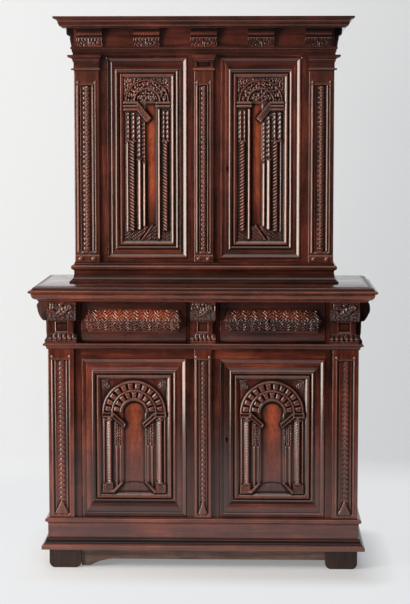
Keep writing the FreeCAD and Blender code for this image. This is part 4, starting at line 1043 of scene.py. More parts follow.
@dataclass(frozen=True)
class DoorFrame:
    """A door's four mitred members: a bed for the bead, a sunk band and a slope up to the outer edge."""

    stage: Stage
    bed: float = 15.0
    slope: float = 13.0
    edge: float = 2.0
    sink: float = 6.0
    thickness: float = 26.0
    eye_inset: float = 26.0

    def section(self, width: float) -> tuple[Array, Array]:
        """Return a member's section as distances from the opening and heights over the door's face.

        The bed and the slope keep their widths, and the band, a little hollow, takes up the rest.
        """
        end, outer = width - self.slope - self.edge, width - self.edge
        share, turn = np.linspace(0, 1, 24), np.linspace(0, math.pi / 2, 6)[1:]
        steps = share[2::2]
        place = np.concatenate([np.linspace(0, self.bed, 5), self.bed + 0.6 + (end - self.bed - 0.6) * share,
                                end + (outer - end) * steps, outer + self.edge * np.sin(turn)])
        height = np.concatenate([np.full(5, -self.sink - 1.5), -self.sink + 1.4 * np.sin(math.pi * share),
                                 self.sink * (0.5 * steps + 0.5 * np.sin(steps * math.pi / 2) - 1),
                                 self.edge * (np.cos(turn) - 1)])
        return place, height

    def member(self, name: str, patch: Patch, length: float, widths: tuple[float, float, float], grain: Grain,
               eye: tuple[float, float] | None = None, soot_and_shade: float = 0.0) -> Surface:
        """Carry the section along one side of the opening, mitred into its neighbours.

        Args:
            name: the member's name.
            patch: a corner of the opening, across it away from the opening and up it along the member.
            length: length of the opening's side.
            widths: the member's own width and its neighbours' at the start and at the end.
            grain: the way of the fibres.
            eye: the place of a keyhole across and along the member.
            soot_and_shade: dust and painted shade all along its slope.

        Returns:
            The closed shell.
        """
        (place, height), (first, _), (last, _) = [self.section(width) for width in widths]
        share = np.linspace(0, 1, 30)
        if eye is not None:
            share = np.unique(np.concatenate([share, np.linspace(eye[1] - 22, eye[1] + 14, 50) / length]))
        travel = -first + (length + first + last) * share[:, None]
        relief = Relief(np.broadcast_to(place, travel.shape), travel)
        relief.height = relief.height + height
        grime = relief.grime(1.0, 2.6, 1.6) + soot_and_shade * eased(place, self.bed, self.bed + 4)
        if eye is not None:
            hole = np.maximum(4.2 - np.hypot(relief.u - eye[0], relief.v - eye[1]),
                              in_box(relief.u, relief.v, eye[0] - 2, eye[0] + 2, eye[1] - 14, eye[1]))
            relief.lay(hole, -20.0, 1.2)
            # The keyhole is also painted black: painted shade inside the hole
            grime = np.maximum(grime, eased(hole, -2.0, 0.5))
        return slab(name, patch, relief, self.thickness, grain, grime)

    def made(self, side: int, finish: bpy.types.Material) -> None:
        """Build one door's frame; the right-hand door has a keyhole in its free stile."""
        stage = self.stage
        name = f"{stage.name}_{SIDES[side]}_door"
        (left, right), (low, high) = stage.opening(side)
        y, wide, tall = stage.front, right - left, high - low
        level = (stage.stile, stage.stile)
        upright = (stage.stile, stage.foot_rail, stage.head_rail)
        eye = (stage.stile - self.eye_inset, stage.lock - low) if side > 0 else None
        # Dust and painted shade darken the foot rails' slopes, and painted shade the upper heads
        foot_soot_and_shade, head_shade = (0.3, 0.12) if stage is UPPER else (0.1, 0.0)
        parts = [
            self.member(name + "_foot", Patch((left, y, low), DOWN, RIGHT), wide, (stage.foot_rail, *level),
                        Grain.LEVEL, None, foot_soot_and_shade),
            self.member(name + "_head", Patch((left, y, high), UP, RIGHT), wide, (stage.head_rail, *level),
                        Grain.LEVEL, None, head_shade),
            self.member(name + "_left_stile", Patch((left, y, low), LEFT, UP), tall, upright,
                        Grain.UPRIGHT, eye),
            self.member(name + "_right_stile", Patch((right, y, low), RIGHT, UP), tall, upright,
                        Grain.UPRIGHT)]
        plant(f"walnut_{name}_frame", Surface.joined(parts), finish, Crease.PLANED, name, name + "_frame")


@dataclass(frozen=True)
class DoorBead:
    """The applied moulding round a door's panel: a fat bead with two broad flanks."""

    profile: tuple[Corner, ...] = ((0, -7.5), (0, -6.2, -24), (7.5, -1.6, -30), (9, -1.6, -24), (15, -5.4),
                                   (16, -7.3))
    # Dust and painted shade on the foot run
    foot_soot_and_shade: SootAndShade = (0.25, 0.25, 0.5)

    def made(self, stage: Stage, side: int, finish: bpy.types.Material) -> None:
        """Build one door's four mitred lengths.

        Args:
            stage: the stage of the door.
            side: -1 for the left-hand door, 1 for the right.
            finish: the material.
        """
        name = f"{stage.name}_{SIDES[side]}_door"
        (left, right), (low, high) = stage.opening(side)
        face, y = traced(self.profile, 0.9), stage.front
        level, upright = (RIGHT, right - left, Grain.LEVEL), (UP, high - low, Grain.UPRIGHT)
        runs = [mitred_run(f"{name}_bead_{word}", face, (x, y, z), along, outward, FORWARD, length, (1, 1),
                           grain, soot_and_shade=soot_and_shade)
                for word, x, z, outward, soot_and_shade, (along, length, grain) in (
                    ("foot", left, low, DOWN, self.foot_soot_and_shade, level), ("head", left, high, UP, CLEAN, level),
                    ("left", left, low, LEFT, CLEAN, upright), ("right", right, low, RIGHT, CLEAN, upright))]
        plant(f"walnut_{name}_moulding", Surface.joined(runs), finish, Crease.PLANED, name,
              name + "_moulding")


# Carved panels, pilasters and cushions

@dataclass(frozen=True)
class ArchPanel:
    """A door's carved panel: a sloped border round a perspective arch on columns.

    Places inside the field are measured from its middle across and from its foot up.
    """

    stage: Stage
    border: float
    border_high: float
    spring: float
    ground: float = -4.5
    groove: float = 6.0
    flat: float = 8.5
    fall: float = 7.0
    setback: float = 5.0
    thickness: float = 14.5
    spacing: float = 1.3

    def blank(self, side: int) -> Relief:
        """Return the panel with its border cut: a groove, a rise, a flat and a slope to the field."""
        (left, right), (low, high) = self.stage.opening(side)
        wide, tall = right - left + 2, high - low + 2
        u = np.linspace(-wide / 2, wide / 2, int(wide / self.spacing))
        v = np.linspace(-1 - self.border_high, tall - 1 - self.border_high, int(tall / self.spacing))
        relief = Relief(u, v)
        edge = np.minimum((wide / 2 - 1 - np.abs(relief.u)) / self.border,
                          np.minimum(relief.v + self.border_high, tall - 2 - self.border_high - relief.v)
                          / self.border_high)
        slope = np.clip((edge - 0.36) / 0.64, 0, 1) ** 1.6
        relief.height = -self.groove + self.flat * eased(edge, 0.12, 0.32) - self.fall * slope
        return relief

    def made(self, side: int, finish: bpy.types.Material) -> None:
        """Carve one panel, mirrored for the right-hand door."""
        name = f"{self.stage.name}_{SIDES[side]}_door"
        (left, right), (low, _) = self.stage.opening(side)
        relief = self.blank(side)
        relief.u = relief.u * -side
        relief.lean = -side
        bare_and_lit, soot_and_shade = self.carve(relief)
        relief.u = relief.u * -side
        corner = ((left + right) / 2, self.stage.front + self.setback, low + self.border_high)
        grime = np.clip(relief.grime(self.spacing) + soot_and_shade, -1, 1)
        surface = slab(name + "_panel", Patch(corner), relief, self.thickness, Grain.UPRIGHT, grime, bare_and_lit)
        plant(f"carved_{name}_panel", surface, finish, Crease.CARVED, name, name + "_panel")

    @staticmethod
    def mottle(u: Array, v: Array) -> Array:
        """Return an uneven share, between about 0.4 and 1, from waves across and along the grain."""
        wave = np.sin(v * 0.071 + 2.0 * np.sin(u * 0.19)) * np.sin(v * 0.023 + u * 0.13 + 1.0)
        return 0.72 + 0.16 * wave + 0.12 * np.sin(v * 0.26 + 1.7 * np.sin(v * 0.11 + u * 0.31))

    def carve(self, relief: Relief) -> tuple[Array, Array]:
        """Cut the arch into the field and return where the wood is bare, with painted light, and where it is
        sooty, with painted shade.
        """
        raise NotImplementedError


class VoussoirPanel(ArchPanel):
    """A lower panel: two rings of voussoir blocks over a niche, with slanting imposts and ramps."""

    HALF, TOP = 121.0, 430.0
    # Rings of blocks as radii, count, floor and rise, and the fillets beside them as radii, base and rise
    BLOCKS = (((86, 110), 12, -6.5, 10.0), ((54, 77), 9, -8.0, 10.0))
    FILLETS = (((110, 119), -1.5, 5.5), ((77, 86), -2.5, 5.5), ((46, 54), -4.0, 4.5))
    FLOOR = ((-74, 3), (74, 3), (42, 40), (-42, 40))
    RAMP = ((86, 8), (74, 0), (36, 37), (46, 45))
    PAD = (80, 118, 2, 36)
    # Receding pilasters as place, radius, foot, drop of the head under the spring, and base
    RECEDING = ((66, 6.0, 26, 30, -6.5), (51, 4.4, 34, 40, -8.0))

    def carve(self, relief: Relief) -> tuple[Array, Array]:
        """Cut rings, niche, columns, imposts, base blocks and spandrels, the same on both sides."""
        u, v, spring, ground = relief.u, relief.v, self.spring, self.ground
        field = in_box(u, v, -self.HALF, self.HALF, 0, self.TOP)
        relief.lay(field, ground, 2.0)
        centre = (0.0, spring)
        corner = np.hypot(self.HALF - np.abs(u), self.TOP - v)
        relief.height += 5.0 * np.exp(-(corner / 26) ** 2) * eased(field, 0, 4)
        for sign in (-1, 1):
            relief.leaf((sign * 90, spring + 92), (sign * 117, self.TOP - 6), 20, ground + 1, 4.5, 3)
        disc = 119 - np.hypot(u, v - spring)
        relief.lay(np.minimum(disc, v - spring), -2.0)
        for ring in self.BLOCKS:
            relief.blocks(centre, *ring)
        for ring in self.FILLETS:
            relief.arc(centre, *ring)
        channel = np.maximum(43 - np.hypot(u, v - spring), in_box(u, v, -41, 41, 36, spring - 6))
        hollow = -10.0 + 4.0 * np.clip(np.abs(u) / 42, 0, 1) ** 2
        relief.lay(channel, hollow, 3.0)
        for sign in (-1, 1):
            self.side_of_arch(relief, sign)
        floor = in_shape(u, v, self.FLOOR)
        relief.lay(floor, -9.5 + 2.0 * np.clip(v / 40, 0, 1), 2.0)
        # Bared wood in the niche, with a painted pool of light in its middle that fades to the sides and to the
        # foot
        bare_and_lit = eased(channel, 3, 14) * np.exp(-(u / 26) ** 2) * (0.15 + 0.85 * eased(v, 100, spring - 20))
        bare_and_lit *= self.mottle(u, v)
        # Painted shade on the floor before the niche and round the niche's rim; the pads are darker too
        soot_and_shade = 0.18 * eased(floor, 0, 4) + 0.15 * eased(in_box(np.abs(u), v, *self.PAD), -1, 2)
        return bare_and_lit, soot_and_shade + 0.35 * eased(channel, -1, 2) * (1 - eased(channel, 5, 15))

    def side_of_arch(self, relief: Relief, sign: int) -> None:
        """Cut one side's column, receding pilasters, impost, base block and ramp; sign is -1 or 1."""
        spring, u, v = self.spring, relief.u, relief.v
        out = sign * u
        ripple = 0.5 * np.sin(v * 0.61 + 2.0 * np.sin(u * 0.8)) * np.sin(u * 1.1)
        relief.column(sign * 113, 4.5, (38, spring - 18), self.ground, 4.5)
        relief.column(sign * 94, 13.0, (36, spring - 16), self.ground, 9.5 + ripple)
        for place, radius, foot, drop, base in self.RECEDING:
            relief.column(sign * place, radius, (foot, spring - drop), base, 6.0)
        for place, radius, _, _, base in self.RECEDING:
            strip = in_box(out, v, place - radius, place + radius, spring - 128, spring - 34)
            relief.foliage(strip, u - sign * place, v, 11.0, base + 2, 5.0)
        for low in (36.0, spring - 30):
            relief.lay(in_box(out, v, 80, 108, low, low + 6), 4.5 + 1.5 * dome(v - low - 3, 3.2))
        slant = ((77, spring + 1), (30, spring - 42), (37, spring - 58), (83, spring - 18))
        flat = ((120, spring + 1), (76, spring + 1), (82, spring - 18), (120, spring - 18))
        for corners in (slant, flat):
            relief.band([(sign * x, y) for x, y in corners], -0.5, 7.5, 3.6)
        relief.lay(in_box(out, v, *self.PAD), 3.0 + 2.0 * ripple - 0.04 * (36 - v), 2.0)
        ramp = in_shape(out, v, self.RAMP)
        relief.lay(ramp, 3.5 + 2.0 * dome(ramp - 5.5, 6.0))


class LeafPanel(ArchPanel):
    """An upper panel: two leaf-carved rings, one slanting impost, rope columns and an offset niche."""

    HALF, TOP, EDGE = 85.0, 603.0, 84.0
    # Level of the necks between the rope columns and the drops of husks over them
    NECK = 370.0
    HUSK = 17.0

    def carve(self, relief: Relief) -> tuple[Array, Array]:
        """Cut the panel as it stands on the left-hand door: the slanting impost on its left."""
        u, v, spring, ground = relief.u, relief.v, self.spring, self.ground
        edge = self.EDGE
        field = in_box(u, v, -self.HALF, self.HALF, 0, self.TOP)
        relief.lay(field, ground, 2.0)
        stipple = np.sin(u * 1.05 + 0.8 * np.sin(v * 0.5)) * np.sin(v * 1.0 + 0.9 * np.sin(u * 0.45))
        relief.height += 1.3 * stipple * eased(field, 0, 3)
        centre = (0.0, spring)
        radius = np.hypot(u, v - spring)
        spandrel = np.minimum(in_box(u, v, -edge, edge, spring, self.TOP - 1), radius - 82)
        relief.clusters(spandrel, 9.6, ground - 1.5, 5.5, 11)
        relief.lay(np.minimum(81 - radius, v - spring), -5.0)
        relief.clusters(np.minimum(np.minimum(radius - 51, 76 - radius), v - spring), 10.4, -6.0, 7.0, 12)
        relief.clusters(np.minimum(44 - radius, v - spring), 10.2, -7.5, 7.0, 13)
        relief.arc(centre, (76, 81), -2.0, 4.5)
        relief.arc(centre, (44, 51), -3.0, 6.0)
        channel = in_box(u, v, -6, 36, 52, spring - 8)
        relief.lay(channel, -9.0 + 3.0 * (np.abs(u - 15) / 21) ** 3, 3.0)
        rough = np.sin(u * 0.55) * np.sin(v * 0.5 + u * 0.2)
        relief.lay(in_box(u, v, -edge, edge, 1, 48), -4.0 + 0.9 * rough + 0.5 * stipple, 4.0)
        self.left_side(relief)
        self.right_side(relief)
        relief.bead(((-25, 6), (12, 58)), 3.0, -4.0, -4.0)
        relief.bead(((-19, 4), (18, 56)), 3.2, -4.0, 3.5)
        # Bared wood in the niche, with a painted pool of light in its middle, dimmed under the arch by painted
        # shade; the foot of the field is darker
        bare_and_lit = eased(channel, 0, 6) * np.exp(-((u - 15) / 17) ** 2) * eased(v, 60, 240) * self.mottle(u, v)
        base = in_box(u, v, -edge, edge, 1, 44)
        return bare_and_lit * (1 - 0.4 * eased(v, spring - 110, spring - 30)), 0.2 * eased(base, -1, 3)

    def left_side(self, relief: Relief) -> None:
        """Cut the deep side: rope column, two receding shafts with carved heads, slanting impost."""
        spring, ground, neck, u, v = self.spring, self.ground, self.NECK, relief.u, relief.v
        relief.rope(-55, 11.0, (36, neck - 2), ground, 13.0, 12.0)
        relief.column(-74, 4.0, (34, neck - 2), ground - 1, 4.0)
        for centre in (-71, -51):
            relief.husks(centre, 7.0, (neck + 4, spring - 42), ground, 8.5, self.HUSK)
        relief.column(-29.5, 8.4, (42, 300), ground - 1, 11.5)
        relief.husks(-29.5, 7.2, (308, spring - 56), ground - 1, 8.5, self.HUSK)
        relief.column(-11.5, 6.0, (54, 288), ground - 2.5, 10.5)
        relief.husks(-11.5, 5.6, (296, spring - 74), ground - 2.5, 8.0, 15.0)
        for centre, half, low in ((-60, 20, neck), (-29.5, 9, 303), (-11.5, 7, 291)):
            ring = in_box(u, v, centre - half, centre + half, low - 3, low + 3)
            relief.lay(ring, 2.5 + 1.5 * dome(v - low, 3.4))
        for step in range(3):
            level = spring - 5 - 12.5 * step
            line = ((-self.EDGE, level), (-36 + step, level), (10 - 5 * step, spring - 62 - 5 * step))
            relief.bead(line, 5.0, -3.0, 8.0 - 1.2 * step)

    def right_side(self, relief: Relief) -> None:
        """Cut the shallow side: a slim shaft on the niche's edge, a rope column and a flat impost."""
        spring, ground, neck, u, v = self.spring, self.ground, self.NECK, relief.u, relief.v
        relief.column(43.5, 5.2, (6, spring - 28), ground, 9.0)
        relief.rope(68, 10.5, (36, neck - 2), ground, 13.0, 12.0)
        for centre in (61, 76):
            relief.husks(centre, 6.4, (neck + 4, spring - 34), ground, 8.0, self.HUSK)
        relief.lay(in_box(u, v, 54, 83, neck - 3, neck + 3), 2.5 + 1.5 * dome(v - neck, 3.4))
        for step in range(2):
            level = spring - 5 - 12.5 * step
            relief.bead(((36, level), (self.EDGE, level)), 5.0, -3.0, 7.5 - 1.2 * step)


@dataclass(frozen=True)
class Pilasters:
    """The three pilasters of a stage: fillets beside a sunk channel with a drop of husks in it."""

    stage: Stage
    span: tuple[float, float]
    corner_width: float
    centre_width: float
    foot_block: float
    sink: float
    swell: float
    fillet: float
    beads: float = 0.0
    inner_fillet: float = 0.0
    tongue: float = 0.0
    head_gap: float = 52.0
    rub_and_highlight: float = 0.0
    full_dirt_and_shade: float = 3.0
    spacing: float = 1.5

    def one(self, name: str, centre: float, width: float) -> Surface:
        """Carve one pilaster.

        Args:
            name: its name.
            centre: its middle line across.
            width: its width.

        Returns:
            The closed shell.
        """
        tall = self.span[1] - self.span[0]
        u = np.linspace(-width / 2, width / 2, int(width / self.spacing))
        v = np.linspace(0, tall, int(tall / self.spacing))
        relief = Relief(u, v)
        aside, v = np.abs(relief.u), relief.v
        edge = np.minimum(width / 2 - aside, np.minimum(v, tall - v))
        relief.height -= 1.8 * (1 - dome(np.clip(1.8 - edge, 0, 1.8), 1.8))
        half, drop = (30.0, 14.0) if width > 80 else (22.0, 11.0)
        foot, head = 14 + self.foot_block, tall - self.head_gap
        ground = -self.sink
        relief.lay(in_box(aside, v, -1.0, half, foot, head), ground, 2.0)
        for place, radius, base in ((half + 2.5, 3.4, 0.0), (half - self.inner_fillet, 2.6, ground)):
            line = np.minimum(radius - np.abs(aside - place), np.minimum(v - foot + 4, head - v))
            relief.lay(line, base + max(self.fillet - 0.5 * radius, 0) + ridge(aside - place, radius), 1.2)
        diamond = 7.0 - np.abs(aside - half - 2.5) - 0.8 * np.abs(v - head - 10)
        relief.lay(diamond, 0.6 * np.clip(diamond, 0, None), 1.2)
        relief.husks(0.0, drop, (foot + self.tongue * 0.7, head - 4), ground, self.swell, 18.0)
        if self.beads:
            swell = np.abs(np.sin(math.pi * v / 11.5)) ** 0.6 * dome(aside, 6.0)
            string = np.minimum(5.6 - aside, np.minimum(v - foot - 10, head - 8 - v))
            relief.lay(string, ground + 0.45 * self.swell + self.beads * swell, 1.2)
        if self.tongue:
            point = in_shape(relief.u, v, ((-half + 5, foot), (half - 5, foot), (0, foot + self.tongue)))
            relief.lay(point, ground + 1.5 + 3.0 * (1 - (aside / half) ** 2))
        if self.foot_block:
            block = self.foot_block - v
            boss = 3.5 * dome(np.hypot(aside - half * 0.8, v - self.foot_block * 0.5), 8.0)
            relief.lay(block, 4.0 + boss - 1.4 * (1 - dome(np.clip(3 - edge, 0, 3), 3.0)), 2.0)
        patch = Patch((centre, self.stage.face, self.span[0]))
        # Hollows take grime and painted shade; rubbing lifts the whole pilaster towards the worn colour, a
        # painted highlight
        grime = np.clip(relief.grime(self.spacing, scale=self.full_dirt_and_shade) - self.rub_and_highlight, -1, 1)
        return slab(name, patch, relief, self.stage.front - self.stage.face, Grain.UPRIGHT, grime)

    def made(self, finish: bpy.types.Material) -> None:
        """Carve the stage's three pilasters as one piece."""
        shift = self.stage.half - self.corner_width / 2
        node = self.stage.name + "_pilasters"
        parts = [self.one(f"{node}_{word}", centre, width) for word, centre, width in (
            ("left", -shift, self.corner_width), ("centre", 0.0, self.centre_width),
            ("right", shift, self.corner_width))]
        plant("carved_" + node, Surface.joined(parts), finish, Crease.CARVED, "carcass", node)


@dataclass(frozen=True)
class Cushion:
    """A drawer's cushion: two leaf-carved slopes meet in a beaded ridge, and the ends come to points."""

    length: float = 368.0
    height: float = 85.0
    rise: float = 31.0
    crest: float = 47.5
    points: tuple[float, float] = (18.0, 15.0)
    lip: float = 6.0
    lift: float = 883.0
    spacing: float = 1.25

    def made(self, side: int, finish: bpy.types.Material) -> None:
        """Carve one drawer's cushion; side is -1 or 1.

        The grid's rows draw in from the ridge's full length towards both edges, and the height is
        the smaller of a rounded slope in v and a steep round at the ends.
        """
        name = SIDES[side] + "_drawer"
        share = np.linspace(0, 1, int(self.length / self.spacing))
        v = np.linspace(0, self.height, int(self.height / self.spacing))
        under = v < self.crest
        fall = np.where(under, (self.crest - v) / self.crest, (v - self.crest) / (self.height - self.crest))
        inset = fall * np.where(under, *self.points)
        u = inset[:, None] + (self.length - 2 * inset[:, None]) * share
        relief = Relief(u, np.broadcast_to(v[:, None], u.shape))
        ends = np.minimum(share, 1 - share)[None] * self.length
        roof = self.rise * (1 - 0.86 * fall[:, None] ** 1.35) * dome(np.clip(16 - ends, 0, 16), 17.0)
        work = Relief(relief.u, relief.v)
        inner = in_box(work.u, work.v, 3, self.length - 3, self.lip + 1, self.height - 2)
        for tier, fan, along, pitch in ((work.v - self.crest - 3, 38.0, work.v, 11.5),
                                        (self.crest - 3 - work.v, 27.0, -work.v, 10.5)):
            cell = (work.u - self.length / 2) / fan
            aside = (cell - np.floor(cell) - 0.5) * fan
            along = along + 1.8 * np.sin(work.u * 0.113) + 1.2 * np.sin(work.u * 0.31 + work.v * 0.2)
            work.foliage(np.minimum(tier, inner), aside, along, pitch, -2.2, 5.2, 0.3)
        bead = 4.0 * np.abs(np.sin(math.pi * work.u / 11.5)) ** 0.7 * dome(work.v - self.crest, 4.0)
        string = in_box(work.u, work.v, 2, self.length - 2, self.crest - 3.6, self.crest + 3.6)
        work.lay(string, bead - 1.0, 1.0)
        relief.height = np.maximum(roof + work.height, 1.5)
        relief.lay(self.lip - relief.v, 5.0 + 1.5 * dome(relief.v - self.lip / 2, self.lip / 2 + 0.2), 1.2)
        grime = np.clip(work.grime(self.spacing, 5.0, 2.2) - 0.05, -1, 1)
        # Bared wood and painted light on the upper tier, which faces up; the right-hand cushion gets less
        warm = 0.9 * eased(work.v, self.crest, self.crest + 10) * (1 - eased(np.abs(share - 0.5), 0.25, 0.48))
        if side > 0:
            warm = warm * 0.4
            nick = np.maximum(3.4 - np.hypot(relief.u - 172, relief.v - self.crest),
                              in_box(relief.u, relief.v, 170.0, 174.0, self.crest - 9, self.crest))
            relief.lay(nick, 8.0, 1.2)
            # The keyhole is also painted black: painted shade inside the hole
            grime = np.maximum(grime, eased(nick, -1.5, 0.5))
        start = side * (LOWER.door_inner + LOWER.door_outer) / 2 - self.length / 2
        patch = Patch((start, LOWER.front, self.lift))
        surface = slab(name + "_cushion", patch, relief, 0.0, Grain.LEVEL, grime, warm)
        plant(f"carved_{name}_cushion", surface, finish, Crease.CARVED, name, name + "_cushion")


# Consoles, brackets and capitals

@dataclass(frozen=True)
class Console:
    """A scrolled bracket of the drawer zone: fluted foot, panelled neck and leaf-carved head."""

    width: float
    depth: float
    neck: float
    flare: float
    foot: float = 36.0
    scroll: float = 74.0
    height: float = 155.0
    lip: float = 9.0
    notch: float = 12.0
    flutes: int = 6
    beads: int = 9
    soot_and_shade: float = 0.22
    step: float = 1.5

    def profile(self) -> Array:
        """Return the section from the wall at the foot to the wall at the top."""
        head = self.height - self.scroll
        return traced(((0, 0), (self.flare, 0), (self.flare, self.lip, -80), (self.neck, self.foot),
                       (self.neck, head), (self.neck + self.lip, head, 70), (self.depth, self.height - 4),
                       (self.depth, self.height), (0, self.height)))

    def made(self, name: str, patch: Patch) -> Surface:
        """Carve one console at a patch and return its shell."""
        line = evened(self.profile(), self.step)
        lengths = np.concatenate([[0], np.cumsum(np.hypot(*np.diff(line, axis=0).T))])
        head = self.height - self.scroll

        def along_at(level: float) -> float:
            """Return the distance along the profile where its face first reaches a level."""
            return float(lengths[np.argmax((line[:, 1] >= level) & (line[:, 0] > self.neck * 0.6))])

        foot_low, foot_high, lip_low = along_at(1.0), along_at(self.foot), along_at(head + 0.5)
        head_high = along_at(self.height - 5)

        def carving(across: Array, along: Array) -> Array:
            """Give the push of flutes, sunk panel, leaf scroll and side leaves."""
            work = Relief(across, along)
            wide = self.width
            flutes = 2.6 * np.abs(np.sin(math.pi * across / wide * self.flutes)) ** 0.7 - 2.0
            work.lay(in_box(across, along, 3, wide - 3, foot_low + 8, foot_high - 2), flutes, 2.0)
            panel = in_box(across, along, wide * 0.24, wide * 0.76, foot_high + 6, lip_low - 14)
            work.lay(panel + 4, 1.0)
            work.lay(panel, -3.0, 2.0)
            low, high = lip_low + 11, head_high - 2
            middle = (low + high) / 2
            field = in_box(across, along, 2, wide - 2, low, high)
            work.lay(field, -2.0)
            work.clusters(field, 11.0, -2.0, 3.4, 22)
            work.leaf((wide * 0.36, middle - 12), (wide * 0.86, high - 5), wide * 0.3, 0.5, 5.5, 5)
            curl = np.hypot(across - wide * 0.79, along - (high - 13))
            work.lay(10 - curl, 3.5 * np.abs(np.cos(curl * 0.55)) + 1.5)
            rows = 2.2 * np.abs(np.sin(math.pi * across / wide * self.beads)) - 1.2
            work.lay(in_box(across, along, 2, wide - 2, lip_low + 1, lip_low + 10), rows)
            return work.height

        def narrowing(level: Array) -> Array:
            """Give the share of the width: full at the head and the foot, notched at the neck."""
            neck = eased(level, self.foot - 6, self.foot) * (1 - eased(level, head - 2, head))
            return 1 - 2 * self.notch / self.width * neck

        return carved_block(name, patch, self.width, self.profile(), carving, self.step, Grain.UPRIGHT,
                            narrowing, self.soot_and_shade)


def consoles(finish: bpy.types.Material) -> None:
    """Carve the three front consoles and the four on the sides."""
    level, width, side_width = DRAWER_LEVEL, 107.0, 74.0
    fronts = []
    for word, wide, left, soot_and_shade in (("left", width, -LOWER.half, 0.22), ("centre", 92.0, -46.0, -0.1),
                                   ("right", width, LOWER.half - width, 0.22)):
        console = Console(wide, 46.0, 16.0, 26.0, soot_and_shade=soot_and_shade)
        fronts.append(console.made("console_" + word, Patch((left, LOWER.front, level))))
    plant("carved_front_consoles", Surface.joined(fronts), finish, Crease.BLOCK, "carcass", "front_consoles")
    sides = []
    for side, word in SIDES.items():
        for end, start in (("front", LOWER.front), ("rear", BACK - side_width)):
            y = start if side > 0 else start + side_width
            patch = Patch.on_side(side, LOWER.half, y, level)
            sides.append(Console(side_width, 34.0, 8.0, 13.0).made(f"side_console_{word}_{end}", patch))
    plant("carved_side_consoles", Surface.joined(sides), finish, Crease.BLOCK, "carcass", "side_consoles")


@dataclass(frozen=True)
class Bracket:
    """A frieze bracket in two tiers: beads on the round above, leafage and tips on the hollow below."""

    width: float = 96.0
    depth: float = 28.0
    toe: float = 7.0
    crown: float = 34.0
    height: float = 67.0
    tips: int = 8
    beads: int = 11
    step: float = 1.4

    def made(self, name: str, patch: Patch) -> Surface:
        """Carve one bracket at a patch and return its shell."""
        toe, fold, depth = self.toe, self.height - self.crown, self.depth
        face = traced(((0, 0), (toe + 3, 0), (toe + 6, 16, -20), (toe + 9, fold - 2), (toe + 8, fold),
                       (toe + 8, fold + 7), (depth - 6, fold + 9, 70), (depth, fold + 20),
                       (depth, self.height), (0, self.height)))

        def carving(across: Array, along: Array) -> Array:
            """Give the push of the rows: leafage and leaf tips, split by a groove, and beads."""
            work = Relief(across, along)
            wide, low = self.width, toe + 4
            work.clusters(in_box(across, along, 2, wide - 2, low, low + 20), 8.5, -1.2, 2.6, 21)
            tips = 1.8 * np.abs(np.sin(math.pi * (across / wide * self.tips + 0.5))) ** 0.7 - 0.8
            work.lay(in_box(across, along, 1, wide - 1, low + 19, low + 30), tips, 2.0)
            work.lay(np.minimum(1.2 - np.abs(across - wide / 2), low + 31 - along), -2.0)
            beads = 1.8 * np.abs(np.sin(math.pi * across / wide * self.beads)) ** 0.7 - 0.8
            work.lay(in_box(across, along, 1, wide - 1, low + 43, low + 54), beads, 2.0)
            return work.height

        # Grime all over, and painted shade under the cornice darkening each bracket's top
        soot_and_shade = 0.34 + 0.4 * eased(evened(face, self.step)[:, 1], self.height - 16, self.height - 8)
        return carved_block(name, patch, self.width, face, carving, self.step, Grain.LEVEL, soot_and_shade=soot_and_shade)


def brackets(finish: bpy.types.Material) -> None:
    """Carve the five front brackets of the frieze and two on each side."""
    bracket, level, spacing, inset = Bracket(), FRIEZE_LEVEL, 211.0, 12.0
    width = bracket.width
    parts = [bracket.made(f"bracket_{index}", Patch((spacing * index - width / 2, UPPER.face, level)))
             for index in range(-2, 3)]
    for side, word in SIDES.items():
        for end, start in (("front", UPPER.face + inset), ("rear", BACK - inset - width)):
            y = start if side > 0 else start + width
            parts.append(bracket.made(f"bracket_{word}_{end}", Patch.on_side(side, UPPER.half, y, level)))
    plant("carved_frieze_brackets", Surface.joined(parts), finish, Crease.BLOCK, "carcass",
          "frieze_brackets")


@dataclass(frozen=True)
class Capital:
    """A pilaster's capital: a plain block with an astragal under it and a moulded top, mitred round."""

    level: float = CAPITAL_LEVEL
    height: float = 58.0
    overhang: float = 22.0
    corners: tuple[Corner, ...] = ((1, 0), (1, 2), (7, 2, 170), (7, 9), (3, 9), (1, 12), (1, 32), (4, 32),
                                   (4, 35, -75), (15, 47), (18, 47), (18, 50), (22, 50), (22, 58))

    def made(self, name: str, left: float, right: float, reach: tuple[float, float]) -> Surface:
        """Build one capital over a pilaster.

        Args:
            name: its name.
            left: the pilaster's left edge.
            right: its right edge.
            reach: how far it overhangs at the left and at the right.

        Returns:
            The closed shells.
        """
        face = traced(self.corners, 0.9)
        shares = [side / self.overhang for side in reach]
        y, depth = UPPER.face, UPPER.front - UPPER.face
        runs = [plank(name + "_core", (left, y, self.level), (right, UPPER.front, self.level + self.height),
                      Grain.LEVEL, 0.5),
                mitred_run(name + "_front", face, (left, y, self.level), RIGHT, FORWARD, UP, right - left,
                           tuple(shares), Grain.LEVEL)]
        for word, x, outward, share in (("left", left, LEFT, shares[0]), ("right", right, RIGHT, shares[1])):
            side = face * np.array([share, 1.0])
            runs.append(mitred_run(f"{name}_{word}", side, (x, y, self.level), BACKWARD, outward, UP, depth,
                                   (1 / share, 0), Grain.DEEP))
        return Surface.joined(runs)


